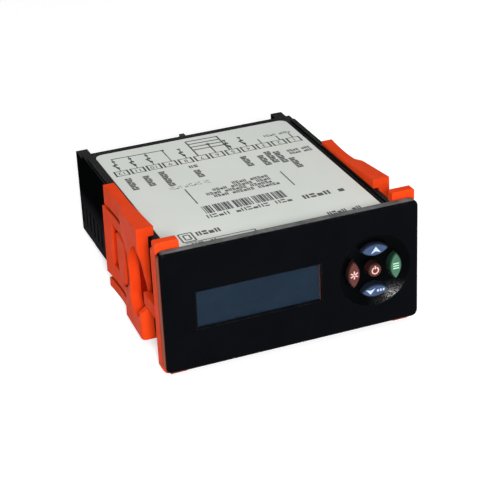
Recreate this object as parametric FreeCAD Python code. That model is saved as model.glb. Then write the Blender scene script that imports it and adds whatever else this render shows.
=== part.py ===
"""Panel-mount digital temperature controller, in millimetres.

Frame: X to the right seen from the front, -Y towards the user, Z up.
The origin is the centre of the bezel's back face, which lies on the panel.
"""
import FreeCAD
import Part
import os

V = FreeCAD.Vector
ALONG_X = V(1, 0, 0)
ALONG_Y = V(0, 1, 0)
ALONG_Z = V(0, 0, 1)

# Clearances shared by the fits
SLIP = 0.2          # between parts that are pushed together by hand
RUN = 0.25          # between parts that slide on each other
GUIDE = 0.1         # round the small switch plungers and the transformer core

# Front bezel
BEZEL_W = 77.0
BEZEL_H = 37.0
BEZEL_T = 2.5
BEZEL_R = 2.0       # corners seen from the front
BEZEL_EDGE = 0.8    # rounded front edge
FLANGE_X = 3.5      # flange past the case at the sides
FLANGE_Z = 4.4      # flange past the case above and below
FRONT_Y = -BEZEL_T
LAYOUT_Z = -0.55    # height of the window and key centres

# Key dish and keys
DISH_R = 11.2
DISH_MARGIN = 2.5   # from the dish to the bezel's right edge
DISH_X = BEZEL_W / 2 - DISH_R - DISH_MARGIN
DISH_DEPTH = 2.3
BOSS_RIM = 1.2      # boss past the dish
BOSS_R = DISH_R + BOSS_RIM
BOSS_T = 1.6
KEY_RING = 6.5      # from the dish centre to the outer keys
KEY_L = 8.3
KEY_W = 3.7
KEY_TIP = 0.35
KEY_EDGE = 0.3
KEY_PROUD = 0.3     # keys stand out of the front face by this much
RESET_D = 4.1
KEY_TAB = 0.7       # retaining bar past each end of the key
KEY_TAB_T = 0.8
KEY_RELIEF_Y = -0.9 # behind this the keys stay clear of the case wall
KEY_STEM_D = 2.4
KEY_STEM_L = 1.2
KEY_TRAVEL = 0.6
PLUNGER_D = 2.0
PLUNGER_L = 2.0
SWITCH_W = 3.0
SWITCH_L = 6.0

# Window and lens, between the left margin and the dish
WIN_MARGIN = 10.0   # from the bezel's left edge
WIN_GAP = 5.5       # to the dish
WIN_X0 = -BEZEL_W / 2 + WIN_MARGIN
WIN_X1 = DISH_X - DISH_R - WIN_GAP
WIN_H = 11.0
WIN_DEPTH = 0.8     # lens face below the front face
WIN_CHAMFER = 0.35
LENS_LIP = 1.0
LENS_T = 1.2
LENS_Y = FRONT_Y + WIN_DEPTH

# Case
CASE_X = BEZEL_W / 2 - FLANGE_X
CASE_Z = BEZEL_H / 2 - FLANGE_Z
CASE_L = 81.5       # top wall
CHEEK_REACH = 7.0   # side walls and floor reach further back
CHEEK_L = CASE_L + CHEEK_REACH
CHEEK_T = 3.7
CHEEK_IN = CASE_X - CHEEK_T
CHEEK_DROP = 1.3    # cheeks end below the case top
CHEEK_TOP = CASE_Z - CHEEK_DROP
WALL = 1.8
IN_X = CASE_X - WALL
IN_Z = CASE_Z - WALL
RAIL_W = 1.4
RAIL_INSET = 0.3    # from the case side
RAIL_X1 = CASE_X - RAIL_INSET
RAIL_X0 = RAIL_X1 - RAIL_W
RAIL_H = 0.8
RAIL_Y0 = 1.0
RAIL_END = 5.0      # rails stop short of the rear
RAIL_Y1 = CASE_L - RAIL_END
RAIL_Z = CASE_Z + RAIL_H
VENTS = 6
VENT_PITCH = 4.0
VENT_W = 1.5
VENT_END = 1.9      # from the last slot's middle to the rear
VENT_Y1 = CHEEK_L - VENT_END
VENT_RISE = 2.6     # above the case bottom
VENT_Z0 = -CASE_Z + VENT_RISE
VENT_H = 7.0
RACK_Y0 = 12.0
RACK_TEETH = 24
RACK_PITCH = 2.0
RACK_DEPTH = 0.5
RACK_HALF = 3.0

# Collar of the bezel, plugged into the case
COLLAR_X = IN_X - SLIP
COLLAR_Z = IN_Z - SLIP
COLLAR_WALL = 1.4
COLLAR_L = 6.5

# Boards and the ledges that carry the main one
BOARD_T = 1.6
DISPLAY_BOARD_Y = COLLAR_L
DISPLAY_BACK_Y = DISPLAY_BOARD_Y + BOARD_T
BOARD_RISE = 4.7    # above the case floor
BOARD_BOTTOM = -IN_Z + BOARD_RISE
BOARD_TOP = BOARD_BOTTOM + BOARD_T
BOARD_GAP = 1.4     # between the two boards
BOARD_Y0 = DISPLAY_BACK_Y + BOARD_GAP
BOARD_END = 2.3     # ahead of the rear end
BOARD_Y1 = CHEEK_L - BOARD_END
LEDGE_T = 1.0
LEDGE_W = 1.2
LEDGE_END = 2.0
LEDGE_Y1 = CASE_L - LEDGE_END

# Label
LABEL_SIDE = 3.1    # bare strip at each side
LABEL_X = CASE_X - LABEL_SIDE
LABEL_Y0 = 2.0
LABEL_END = 3.0     # bare strip at the rear
LABEL_Y1 = CASE_L - LABEL_END
LABEL_T = 0.2
LABEL_R = 2.5

# Terminal block
WAYS = 12
BLOCK_X = CHEEK_IN - SLIP
BLOCK_END = 0.62
PITCH = 2 * (BLOCK_X - BLOCK_END) / WAYS
BLOCK_REACH = 8.5   # into the case
BLOCK_Y0 = CASE_L - BLOCK_REACH
BLOCK_SET = 0.5     # set back from the ends of the top wall and the cheeks
BLOCK_STEP_Y = CASE_L - BLOCK_SET
BLOCK_Y1 = CHEEK_L - BLOCK_SET
BLOCK_DROP = 2.1    # below the inside of the top wall
BLOCK_TOP = IN_Z - BLOCK_DROP
FIN_HALF = 0.8      # divider in the middle of the block
FIN_DROP = 0.7      # below the cheeks
FIN_TOP = CHEEK_TOP - FIN_DROP
WAY_WALL = 1.18     # between neighbouring wire entries
CELL_HALF = (PITCH - WAY_WALL) / 2
CELL_REACH = 2.5    # wire entries go this far in under the top wall
CELL_Y0 = CASE_L - CELL_REACH
CELL_FLOOR = 2.5
CELL_Z0 = BOARD_TOP + CELL_FLOOR
SCREW_SET = 3.5     # from the block's rear face
SCREW_Y = BLOCK_Y1 - SCREW_SET
WELL_D = 2 * CELL_HALF + GUIDE
WELL_DEPTH = 5.2
WELL_FLOOR = BLOCK_TOP - WELL_DEPTH
CLAMP_PLAY = 0.15   # at each side in the cell
CLAMP_HALF = CELL_HALF - CLAMP_PLAY
CLAMP_REACH = 2.9   # ahead of the screw
CLAMP_Y0 = SCREW_Y - CLAMP_REACH
CLAMP_SET = 1.0     # from the block's rear face
CLAMP_Y1 = BLOCK_Y1 - CLAMP_SET
CLAMP_DROP = 0.6    # below the cell's roof
CLAMP_TOP = WELL_FLOOR - CLAMP_DROP
CLAMP_WALL = 0.7
CLAMP_FLOOR = 0.9
WIRE_Z0 = CELL_Z0 + CLAMP_FLOOR
CLAMP_NUT = 2.8     # thick top wall with the thread
WIRE_Z1 = CLAMP_TOP - CLAMP_NUT
SCREW_HEAD_D = WELL_D - 2 * SLIP
SCREW_HEAD_H = 2.0
SCREW_SHANK_D = 2.2
SCREW_SHANK_L = 4.0
SCREW_SLOT_W = 0.7
SCREW_SLOT_H = 0.8
COVER_T = 1.8
COVER_RIM = 1.3
COVER_SLOT = 2.4

# Relays and a varistor in a row in front of the terminal block
VARISTOR_D = 10.0
VARISTOR_T = 4.0
VARISTOR_LIFT = 1.5
VARISTOR_EDGE = 0.8
VARISTOR_SIDE = 11.2 # from the case wall to its middle
VARISTOR_X = IN_X - VARISTOR_SIDE
RELAYS = 4
RELAY_GAP = 1.2     # between two relays
RELAY_SIDE = 2.0    # from the case wall
RELAY_X0 = -IN_X + RELAY_SIDE
VARISTOR_GAP = 2.6  # between the relay places and the varistor
RELAY_END = VARISTOR_X - VARISTOR_D / 2 - VARISTOR_GAP
RELAY_PITCH = (RELAY_END - RELAY_X0) / RELAYS
RELAY_W = RELAY_PITCH - RELAY_GAP
RELAY_L = 20.3
BLOCK_GAP = 3.2     # from the relays to the terminal block
RELAY_Y0 = BLOCK_Y0 - BLOCK_GAP - RELAY_L
RELAY_ROOM = 2.7    # over the relays
RELAY_H = IN_Z - RELAY_ROOM - BOARD_TOP
RELAY_R = 0.6
VARISTOR_SET = 8.8  # ahead of the relays' rear
VARISTOR_Y = RELAY_Y0 + RELAY_L - VARISTOR_SET

# Transformer in front of the relays
CORE_W = 30.0
CORE_L = 25.0
CORE_H = 10.0
CORE_LEG = 9.0
CORE_WINDOW_W = 6.0
CORE_WINDOW_L = 15.0
WALL_GAP = 1.2      # from the case wall to the core and to the regulator
CORE_X = -IN_X + WALL_GAP + CORE_W / 2
CORE_GAP = 4.0      # to the relays
CORE_Y = RELAY_Y0 - CORE_GAP - CORE_L / 2
FLANGE_ROOM = 1.3   # over the bobbin
FLANGE_TOP = IN_Z - FLANGE_ROOM
CORE_Z = (BOARD_TOP + FLANGE_TOP) / 2
BOBBIN_WALL = 0.8
BOBBIN_FLANGE_T = 1.0
WINDING_R = 2.5

# Small components
FILTER_D = 10.0
FILTER_H = 14.0
FILTER_GAP = 5.0    # to the transformer core
FILTER_X = CORE_X + CORE_W / 2 + FILTER_GAP + FILTER_D / 2
FILTER_BEHIND = 3.0 # the middle of the core
FILTER_Y = CORE_Y + FILTER_BEHIND
SMALL_D = 6.3
SMALL_H = 11.0
SMALL_GAP = 2.85    # to the filter capacitor
SMALL_X = FILTER_X + FILTER_D / 2 + SMALL_GAP + SMALL_D / 2
SMALL_AHEAD = 2.0   # of the middle of the core
SMALL_Y = CORE_Y - SMALL_AHEAD
CAN_EDGE = 0.5
BRIDGE_W = 8.0
BRIDGE_L = 6.0
BRIDGE_H = 6.0
BRIDGE_AHEAD = 8.0  # of the middle of the core
BRIDGE_Y = CORE_Y - BRIDGE_AHEAD
REGULATOR_W = 10.0
REGULATOR_T = 4.4
REGULATOR_X = IN_X - WALL_GAP - REGULATOR_W / 2
REGULATOR_GAP = 4.3 # to the relays
REGULATOR_Y = RELAY_Y0 - REGULATOR_GAP - REGULATOR_T / 2
REGULATOR_ROOM = 2.3 # over the tab
REGULATOR_TOP = IN_Z - REGULATOR_ROOM
REGULATOR_TAB_T = 1.3
REGULATOR_TAB_H = 6.0
REGULATOR_HOLE = 3.6
LEG = 0.8
LEG_H = 2.0
LEG_PITCH = 2.54
CHIP = 10.0
CHIP_T = 1.4
CHIP_X = 7.0
CHIP_Z = 2.0
BUZZER_D = 9.5
BUZZER_T = 4.0
BUZZER_HOLE = 1.6
BUZZER_SIDE = 11.0  # from the collar's outside to its middle
BUZZER_X = -COLLAR_X + BUZZER_SIDE
BUZZER_Z = 3.0
HEADER_L = 20.0
HEADER_T = 2.5

# Mounting clips: widths are measured out from the case side
CLIP_IN_X = CASE_X + RUN
CLIP_LIP = 1.25             # hooks over the rails
CLIP_LIP_X = CASE_X - CLIP_LIP
CLIP_UNDER = RAIL_Z + RUN
CLIP_ROOF = 1.15
CLIP_TOP = CLIP_UNDER + CLIP_ROOF
CLIP_RAMP = 1.65            # the top rises by this much towards the front
CLIP_RAMP_Y = 36.0
CLIP_FLOOR = 1.95
CLIP_BOTTOM = -CLIP_UNDER - CLIP_FLOOR
CLIP_Y0 = 16.2
ARM_Y1 = 52.5
PLATE_Y1 = 54.3
PLATE_DROP = 5.1            # below the case top
PLATE_TOP = CASE_Z - PLATE_DROP
PLATE_RISE = 1.2            # above the case bottom
PLATE_LOW = -CASE_Z + PLATE_RISE
GRIP = [(2.3, PLATE_Y1), (1.85, 48.5), (1.65, 43.0), (1.75, 38.5), (2.05, 35.6)]
HUMP = (3.3, 32.9)
CLIP_FRONT = 3.85
CLIP_LEAN = 0.5             # the outside leans in by this much over its height
CORNER_R = 1.5              # front corner below the leaf
SCOOP_FLOOR = 1.85          # thumb hollow between the levers
SCOOP_Y = 41.0
SCOOP_Z = -1.5
SCOOP_R = 9.7
SCOOP_FLARE = 3.0           # radius gained per millimetre outwards
LEAF_T = 2.0
LEAF_EDGE = [(4.6, 13.2), (3.4, 10.2), (2.1, 5.2), (1.6, 1.9), (1.1, -0.8), (0.95, -3.5), (1.1, -5.9),
             (2.4, -7.5), (4.6, -8.8)]
EYE_Y1 = 26.8               # rear wall of the bowed window
EYE_R = 10.3
EYE_Z = 1.5
EYE_LOW_R = 5.1
EYE_LOW_Z = -6.4
SLOT = 1.3
UPPER_SLOT_Y = 39.0
LOWER_SLOT_Y = 34.0
TONGUE_Y = 37.9
TONGUE_R = 3.6
TONGUE_SLOT = 0.7
TONGUE_LOW = -6.1
TONGUE_HIGH = 5.6
TONGUE_OUT = 2.35           # its face, past the case side
TONGUE_EDGE = 0.45
POCKET_REACH = 9.9          # behind the middle of the tongue
POCKET_Y1 = TONGUE_Y + POCKET_REACH
POCKET_LOW = -8.0
POCKET_FLOOR = 0.85
POCKET_HOLE_L = 3.4
POCKET_HOLE_H = 2.8
FOOT_GAP = 0.15             # from the bezel's back to the pads
FOOT_INSET = 0.05           # from the bezel's side
FOOT_X = BEZEL_W / 2 - FOOT_INSET
PAD_W = 6.85
FOOT_IN_X = FOOT_X - PAD_W
FOOT_Y1 = 2.8
FOOT_OVER = 2.3             # above the bezel
FOOT_TOP = BEZEL_H / 2 + FOOT_OVER
FOOT_UNDER = 1.5            # below the bezel
FOOT_BOTTOM = -BEZEL_H / 2 - FOOT_UNDER
PAD_RISE = 2.7              # from the rails to the pads
PAD_Z = RAIL_Z + PAD_RISE
BAR_Y0 = 0.9
BAR_Y1 = 5.0
BAR_R = 2.0
BAR_EDGE = 0.5
WEB_TOP = -2.1
WEB_LOW = -5.9
WEB_T = 2.5


def box(x0, x1, y0, y1, z0, z1):
    return Part.makeBox(x1 - x0, y1 - y0, z1 - z0, V(x0, y0, z0))


def box_at(x, y, w, d, z0, z1):
    """Upright box about a centre in plan."""
    return box(x - w / 2, x + w / 2, y - d / 2, y + d / 2, z0, z1)


def tube_x(r, y, z, x0, x1):
    return Part.makeCylinder(r, x1 - x0, V(x0, y, z), ALONG_X)


def tube_y(d, x, z, y0, y1):
    return Part.makeCylinder(d / 2, y1 - y0, V(x, y0, z), ALONG_Y)


def tube_z(d, x, y, z0, z1):
    return Part.makeCylinder(d / 2, z1 - z0, V(x, y, z0), ALONG_Z)


def edges_along(shape, axis):
    """Straight edges parallel to an axis."""
    found = []
    for edge in shape.Edges:
        if len(edge.Vertexes) == 2:
            span = edge.Vertexes[1].Point - edge.Vertexes[0].Point
            if span.cross(axis).Length < 1e-6:
                found.append(edge)
    return found


def edges_at_y(shape, y):
    """Edges that lie in the plane of one y value."""
    return [e for e in shape.Edges if abs(e.BoundBox.YMin - y) < 1e-6 and abs(e.BoundBox.YMax - y) < 1e-6]


def round_box(x0, x1, y0, y1, z0, z1, r, axis):
    """Box with the four edges along one axis rounded."""
    solid = box(x0, x1, y0, y1, z0, z1)
    return solid.makeFillet(r, edges_along(solid, axis))


def mirrored(shape, normal):
    return shape.mirror(V(0, 0, 0), normal)


def save(name, shape):
    if len(shape.Solids) == 1:
        shape = shape.Solids[0]
    shape.exportStep("parts/" + name + ".step")


def lens_outline(length, width, x, z, y, upright):
    """Pointed oval of two arcs, as a face in a plane of constant y."""
    half = length / 2
    bulge = width / 2

    def place(along, across):
        if upright:
            return V(x + across, y, z + along)
        return V(x + along, y, z + across)

    upper = Part.Arc(place(-half, 0), place(0, bulge), place(half, 0)).toShape()
    lower = Part.Arc(place(half, 0), place(0, -bulge), place(-half, 0)).toShape()
    return Part.Face(Part.Wire([upper, lower]))


def lens_prism(length, width, x, z, y0, y1, upright, tip=0.0):
    solid = lens_outline(length, width, x, z, y0, upright).extrude(V(0, y1 - y0, 0))
    if tip > 0:
        solid = solid.makeFillet(tip, edges_along(solid, ALONG_Y))
    return solid


def key_places():
    """Name, centre and stance of the five keys."""
    z = LAYOUT_Z
    return [("up", DISH_X, z + KEY_RING, False),
            ("down", DISH_X, z - KEY_RING, False),
            ("power", DISH_X - KEY_RING, z, True),
            ("set", DISH_X + KEY_RING, z, True),
            ("reset", DISH_X, z, None)]


def key_column(x, z, upright, grow, y0, y1, tip=0.0):
    """Column with the plan form of a key, grown by a margin."""
    if upright is None:
        return tube_y(RESET_D + 2 * grow, x, z, y0, y1)
    return lens_prism(KEY_L + 2 * grow, KEY_W + 2 * grow, x, z, y0, y1, upright, tip)


# Front bezel: flange, window rebate, key dish with its boss, and the collar
def front_bezel():
    half_w = BEZEL_W / 2
    half_h = BEZEL_H / 2
    flange = round_box(-half_w, half_w, FRONT_Y, 0, -half_h, half_h, BEZEL_R, ALONG_Y)
    flange = flange.makeFillet(BEZEL_EDGE, edges_at_y(flange, FRONT_Y))
    boss = tube_y(2 * BOSS_R, DISH_X, LAYOUT_Z, 0, BOSS_T)
    boss = boss.common(box(0, COLLAR_X, 0, BOSS_T, -COLLAR_Z, COLLAR_Z))
    body = flange.fuse([boss, bezel_collar()]).removeSplitter()
    sphere_r = (DISH_R ** 2 + DISH_DEPTH ** 2) / (2 * DISH_DEPTH)
    dish = Part.makeSphere(sphere_r, V(DISH_X, FRONT_Y + DISH_DEPTH - sphere_r, LAYOUT_Z))
    body = body.cut([dish, window_opening()])
    for name, x, z, upright in key_places():
        body = body.cut(key_column(x, z, upright, SLIP, FRONT_Y, BOSS_T))
    return body


def bezel_collar():
    """Square collar with a notch beside the right-hand key."""
    inner_x = COLLAR_X - COLLAR_WALL
    inner_z = COLLAR_Z - COLLAR_WALL
    collar = box(-COLLAR_X, COLLAR_X, 0, COLLAR_L, -COLLAR_Z, COLLAR_Z)
    collar = collar.cut(box(-inner_x, inner_x, 0, COLLAR_L, -inner_z, inner_z))
    notch = KEY_L / 2 + KEY_TAB + 2 * SLIP
    return collar.cut(box(inner_x, COLLAR_X, BOSS_T, COLLAR_L, LAYOUT_Z - notch, LAYOUT_Z + notch))


def window_rectangle(grow, y):
    """Window outline grown by a margin, at one y value."""
    x0 = WIN_X0 - grow
    x1 = WIN_X1 + grow
    z0 = LAYOUT_Z - WIN_H / 2 - grow
    z1 = LAYOUT_Z + WIN_H / 2 + grow
    return Part.makePolygon([V(x0, y, z0), V(x1, y, z0), V(x1, y, z1), V(x0, y, z1), V(x0, y, z0)])


def window_plate(y0, y1, grow):
    """Plate behind the window, reaching past its edge by a margin."""
    half_h = WIN_H / 2 + grow
    return box(WIN_X0 - grow, WIN_X1 + grow, y0, y1, LAYOUT_Z - half_h, LAYOUT_Z + half_h)


def window_opening():
    """Window with a chamfered front edge and the wider rebate for the lens behind it."""
    front = window_rectangle(WIN_CHAMFER, FRONT_Y)
    back = window_rectangle(0, FRONT_Y + WIN_CHAMFER)
    chamfer = Part.makeLoft([front, back], True)
    return window_plate(FRONT_Y, LENS_Y, 0).fuse([chamfer, window_plate(LENS_Y, 0, LENS_LIP)])


def display_lens():
    return window_plate(LENS_Y, LENS_Y + LENS_T, LENS_LIP - SLIP / 2)


def display_module():
    return window_plate(LENS_Y + LENS_T, DISPLAY_BOARD_Y, LENS_LIP - SLIP)


# Keys: coloured column, retaining bar and a stem that bears on the switch plunger
def key_bar(x, z, upright, y0, y1):
    """Bar behind the boss that keeps the key from falling out of the front."""
    if upright is None:
        return tube_y(RESET_D + 2 * KEY_TAB, x, z, y0, y1)
    reach = KEY_L / 2 + KEY_TAB
    half = KEY_STEM_D / 2
    if upright:
        return box(x - half, x + half, y0, y1, z - reach, z + reach)
    return box(x - reach, x + reach, y0, y1, z - half, z + half)


def key(x, z, upright):
    top = FRONT_Y - KEY_PROUD
    tip = 0.0 if upright is None else KEY_TIP
    column = key_column(x, z, upright, 0, top, BOSS_T, tip)
    column = column.makeChamfer(KEY_EDGE, edges_at_y(column, top))
    stem_y = BOSS_T + KEY_TAB_T
    bar = key_bar(x, z, upright, BOSS_T, stem_y)
    stem = tube_y(KEY_STEM_D, x, z, stem_y, stem_y + KEY_STEM_L)
    body = column.fuse([bar, stem]).removeSplitter()
    limit = IN_X - 2 * SLIP
    return body.cut(box(limit, CASE_X, KEY_RELIEF_Y, stem_y, z - KEY_L, z + KEY_L))


def plunger_start():
    return BOSS_T + KEY_TAB_T + KEY_STEM_L


def plunger(x, z):
    y = plunger_start()
    return tube_y(PLUNGER_D, x, z, y, y + PLUNGER_L)


def tact_switch(x, z, upright):
    """Switch body on the display board, with the bore its plunger runs in."""
    y0 = plunger_start() + KEY_TRAVEL + GUIDE
    half_x, half_z = (SWITCH_W / 2, SWITCH_L / 2) if upright else (SWITCH_L / 2, SWITCH_W / 2)
    body = box(x - half_x, x + half_x, y0, DISPLAY_BOARD_Y, z - half_z, z + half_z)
    bore_end = plunger_start() + PLUNGER_L + KEY_TRAVEL + GUIDE
    return body.cut(tube_y(PLUNGER_D + 2 * GUIDE, x, z, y0, bore_end))


def display_board():
    return box(-COLLAR_X, COLLAR_X, DISPLAY_BOARD_Y, DISPLAY_BACK_Y, -COLLAR_Z, COLLAR_Z)


def controller_chip():
    half = CHIP / 2
    return box(CHIP_X - half, CHIP_X + half, DISPLAY_BACK_Y, DISPLAY_BACK_Y + CHIP_T,
               CHIP_Z - half, CHIP_Z + half)


def buzzer():
    y1 = DISPLAY_BACK_Y + BUZZER_T
    drum = tube_y(BUZZER_D, BUZZER_X, BUZZER_Z, DISPLAY_BACK_Y, y1)
    return drum.cut(tube_y(BUZZER_HOLE, BUZZER_X, BUZZER_Z, DISPLAY_BACK_Y + BUZZER_T / 2, y1))


def board_header():
    """Connector in the corner between the two boards."""
    return box(-HEADER_L / 2, HEADER_L / 2, DISPLAY_BACK_Y, DISPLAY_BACK_Y + HEADER_T,
               BOARD_TOP, BOARD_TOP + HEADER_T)


# Case: tube with rails, racks, vent slots, board ledges and rear cheeks
def case():
    body = box(-CASE_X, CASE_X, 0, CHEEK_L, -CASE_Z, CASE_Z)
    body = body.cut(box(-IN_X, IN_X, 0, CASE_L, -IN_Z, IN_Z))
    body = body.cut(box(-CHEEK_IN, CHEEK_IN, CASE_L, CHEEK_L, -IN_Z, CASE_Z))
    body = body.cut(box(-CASE_X, CASE_X, CASE_L, CHEEK_L, CHEEK_TOP, CASE_Z))
    added = []
    removed = []
    for side in (-1, 1):
        x0, x1 = sorted((side * RAIL_X0, side * RAIL_X1))
        added.append(box(x0, x1, RAIL_Y0, RAIL_Y1, CASE_Z - WALL / 2, RAIL_Z))
        added.append(box(x0, x1, RAIL_Y0, RAIL_Y1, -RAIL_Z, -CASE_Z + WALL / 2))
        x0, x1 = sorted((side * (IN_X - LEDGE_W), side * (IN_X + WALL / 2)))
        added.append(box(x0, x1, BOARD_Y0, LEDGE_Y1, BOARD_BOTTOM - LEDGE_T, BOARD_BOTTOM))
        removed += vent_slots(side)
        removed += rack_grooves(side)
    return body.fuse(added).removeSplitter().cut(removed)


def vent_slots(side):
    x0, x1 = sorted((side * IN_X, side * CASE_X))
    slots = []
    for i in range(VENTS):
        y = VENT_Y1 - i * VENT_PITCH
        slots.append(box(x0, x1, y - VENT_W / 2, y + VENT_W / 2, VENT_Z0, VENT_Z0 + VENT_H))
    return slots


def rack_grooves(side):
    x0, x1 = sorted((side * (CASE_X - RACK_DEPTH), side * CASE_X))
    grooves = []
    for i in range(RACK_TEETH):
        y = RACK_Y0 + i * RACK_PITCH
        grooves.append(box(x0, x1, y, y + RACK_PITCH / 2, -RACK_HALF, RACK_HALF))
    return grooves


def top_label():
    return round_box(-LABEL_X, LABEL_X, LABEL_Y0, LABEL_Y1, CASE_Z, CASE_Z + LABEL_T, LABEL_R, ALONG_Z)


# Rear: terminal block between the cheeks, its clamps and screws, and the cover below the board
def way_centres():
    return [(i - (WAYS - 1) / 2) * PITCH for i in range(WAYS)]


def terminal_block():
    body = box(-BLOCK_X, BLOCK_X, BLOCK_Y0, BLOCK_Y1, BOARD_TOP, BLOCK_TOP)
    step = box(-BLOCK_X, BLOCK_X, BLOCK_Y0, BLOCK_STEP_Y, BLOCK_TOP, IN_Z - SLIP)
    fin = box(-FIN_HALF, FIN_HALF, CASE_L + SLIP, BLOCK_Y1, BLOCK_TOP, FIN_TOP)
    body = body.fuse([step, fin]).removeSplitter()
    cuts = []
    for x in way_centres():
        cuts.append(box(x - CELL_HALF, x + CELL_HALF, CELL_Y0, BLOCK_Y1, CELL_Z0, WELL_FLOOR))
        cuts.append(tube_z(WELL_D, x, SCREW_Y, WELL_FLOOR, FIN_TOP))
    return body.cut(cuts)


def terminal_clamp(x):
    """Brass cage open along y for the wire, with the screw hole in its top wall."""
    body = box(x - CLAMP_HALF, x + CLAMP_HALF, CLAMP_Y0, CLAMP_Y1, CELL_Z0, CLAMP_TOP)
    half = CLAMP_HALF - CLAMP_WALL
    wire = box(x - half, x + half, CLAMP_Y0, CLAMP_Y1, WIRE_Z0, WIRE_Z1)
    return body.cut([wire, tube_z(SCREW_SHANK_D + SLIP, x, SCREW_Y, WIRE_Z0, CLAMP_TOP)])


def terminal_screw(x):
    top = CLAMP_TOP + SCREW_HEAD_H
    head = tube_z(SCREW_HEAD_D, x, SCREW_Y, CLAMP_TOP, top)
    shank = tube_z(SCREW_SHANK_D, x, SCREW_Y, CLAMP_TOP - SCREW_SHANK_L, CLAMP_TOP)
    half = SCREW_SLOT_W / 2
    reach = SCREW_HEAD_D
    slot = box(x - reach, x + reach, SCREW_Y - half, SCREW_Y + half, top - SCREW_SLOT_H, top)
    return head.fuse(shank).removeSplitter().cut(slot)


def rear_cover():
    """Strip that closes the gap under the main board, with an air slot below each way."""
    y0 = BOARD_Y1 - COVER_T
    plate = box(-BLOCK_X, BLOCK_X, y0, BOARD_Y1, -IN_Z, BOARD_BOTTOM)
    half = COVER_SLOT / 2
    slots = [box(x - half, x + half, y0, BOARD_Y1, -IN_Z + COVER_RIM, BOARD_BOTTOM - COVER_RIM)
             for x in way_centres()]
    return plate.cut(slots)


# Main board and what is soldered to it
def main_board():
    front = box(-IN_X + SLIP, IN_X - SLIP, BOARD_Y0, LEDGE_Y1 + LEDGE_END / 2, BOARD_BOTTOM, BOARD_TOP)
    rear = box(-BLOCK_X, BLOCK_X, LEDGE_Y1, BOARD_Y1, BOARD_BOTTOM, BOARD_TOP)
    return front.fuse(rear).removeSplitter()


def transformer():
    """Laminated core lying flat, the flanged bobbin on its middle leg and the winding."""
    x, y, z = CORE_X, CORE_Y, CORE_Z
    core = box_at(x, y, CORE_W, CORE_L, z - CORE_H / 2, z + CORE_H / 2)
    for side in (-1, 1):
        window_x = x + side * (CORE_LEG + CORE_WINDOW_W) / 2
        core = core.cut(box_at(window_x, y, CORE_WINDOW_W, CORE_WINDOW_L, z - CORE_H / 2, z + CORE_H / 2))
    hole_w = CORE_LEG + 2 * GUIDE
    hole_half = CORE_H / 2 + GUIDE
    length = CORE_WINDOW_L - 2 * GUIDE
    sleeve_w = hole_w + 2 * BOBBIN_WALL
    sleeve_half = hole_half + BOBBIN_WALL
    sleeve = box_at(x, y, sleeve_w, length, z - sleeve_half, z + sleeve_half)
    flange_w = CORE_LEG + 2 * CORE_WINDOW_W - 6 * GUIDE
    inside = length - 2 * BOBBIN_FLANGE_T
    flange_y = (length - BOBBIN_FLANGE_T) / 2
    flanges = [box_at(x, y + side * flange_y, flange_w, BOBBIN_FLANGE_T, BOARD_TOP, FLANGE_TOP)
               for side in (-1, 1)]
    bobbin = sleeve.fuse(flanges).removeSplitter()
    bobbin = bobbin.cut(box_at(x, y, hole_w, length, z - hole_half, z + hole_half))
    half_w = flange_w / 2 - 4 * GUIDE
    half_h = FLANGE_TOP - z - 6 * GUIDE
    winding = round_box(x - half_w, x + half_w, y - inside / 2, y + inside / 2, z - half_h, z + half_h,
                        WINDING_R, ALONG_Y)
    winding = winding.cut(box_at(x, y, sleeve_w, inside, z - sleeve_half, z + sleeve_half))
    return core, bobbin, winding


def relay(index):
    x = RELAY_X0 + index * RELAY_PITCH
    return round_box(x, x + RELAY_W, RELAY_Y0, RELAY_Y0 + RELAY_L, BOARD_TOP, BOARD_TOP + RELAY_H,
                     RELAY_R, ALONG_Z)


def capacitor(d, x, y, height):
    can = tube_z(d, x, y, BOARD_TOP, BOARD_TOP + height)
    rim = [e for e in can.Edges if e.BoundBox.ZMin > BOARD_TOP + height - CAN_EDGE]
    return can.makeChamfer(CAN_EDGE, rim)


def bridge_rectifier():
    return box_at(FILTER_X, BRIDGE_Y, BRIDGE_W, BRIDGE_L, BOARD_TOP, BOARD_TOP + BRIDGE_H)


def varistor():
    """Disc standing on two wire legs."""
    x, y = VARISTOR_X, VARISTOR_Y
    z = BOARD_TOP + VARISTOR_LIFT + VARISTOR_D / 2
    disc = tube_y(VARISTOR_D, x, z, y - VARISTOR_T / 2, y + VARISTOR_T / 2)
    rims = edges_at_y(disc, y - VARISTOR_T / 2) + edges_at_y(disc, y + VARISTOR_T / 2)
    disc = disc.makeChamfer(VARISTOR_EDGE, rims)
    legs = [tube_z(LEG, x + side * LEG_PITCH, y, BOARD_TOP, z) for side in (-1, 1)]
    return disc.fuse(legs).removeSplitter()


def voltage_regulator():
    """Tab package standing upright on three legs."""
    x, y = REGULATOR_X, REGULATOR_Y
    shoulder = REGULATOR_TOP - REGULATOR_TAB_H
    body = box_at(x, y, REGULATOR_W, REGULATOR_T, BOARD_TOP + LEG_H, shoulder)
    tab_y = y + (REGULATOR_T - REGULATOR_TAB_T) / 2
    tab = box_at(x, tab_y, REGULATOR_W, REGULATOR_TAB_T, shoulder, REGULATOR_TOP)
    tab = tab.cut(tube_y(REGULATOR_HOLE, x, REGULATOR_TOP - REGULATOR_TAB_H / 2, y, y + REGULATOR_T))
    legs = [box_at(x + i * LEG_PITCH, y, LEG, LEG, BOARD_TOP, BOARD_TOP + LEG_H) for i in (-1, 0, 1)]
    return body.fuse([tab] + legs).removeSplitter()


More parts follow.
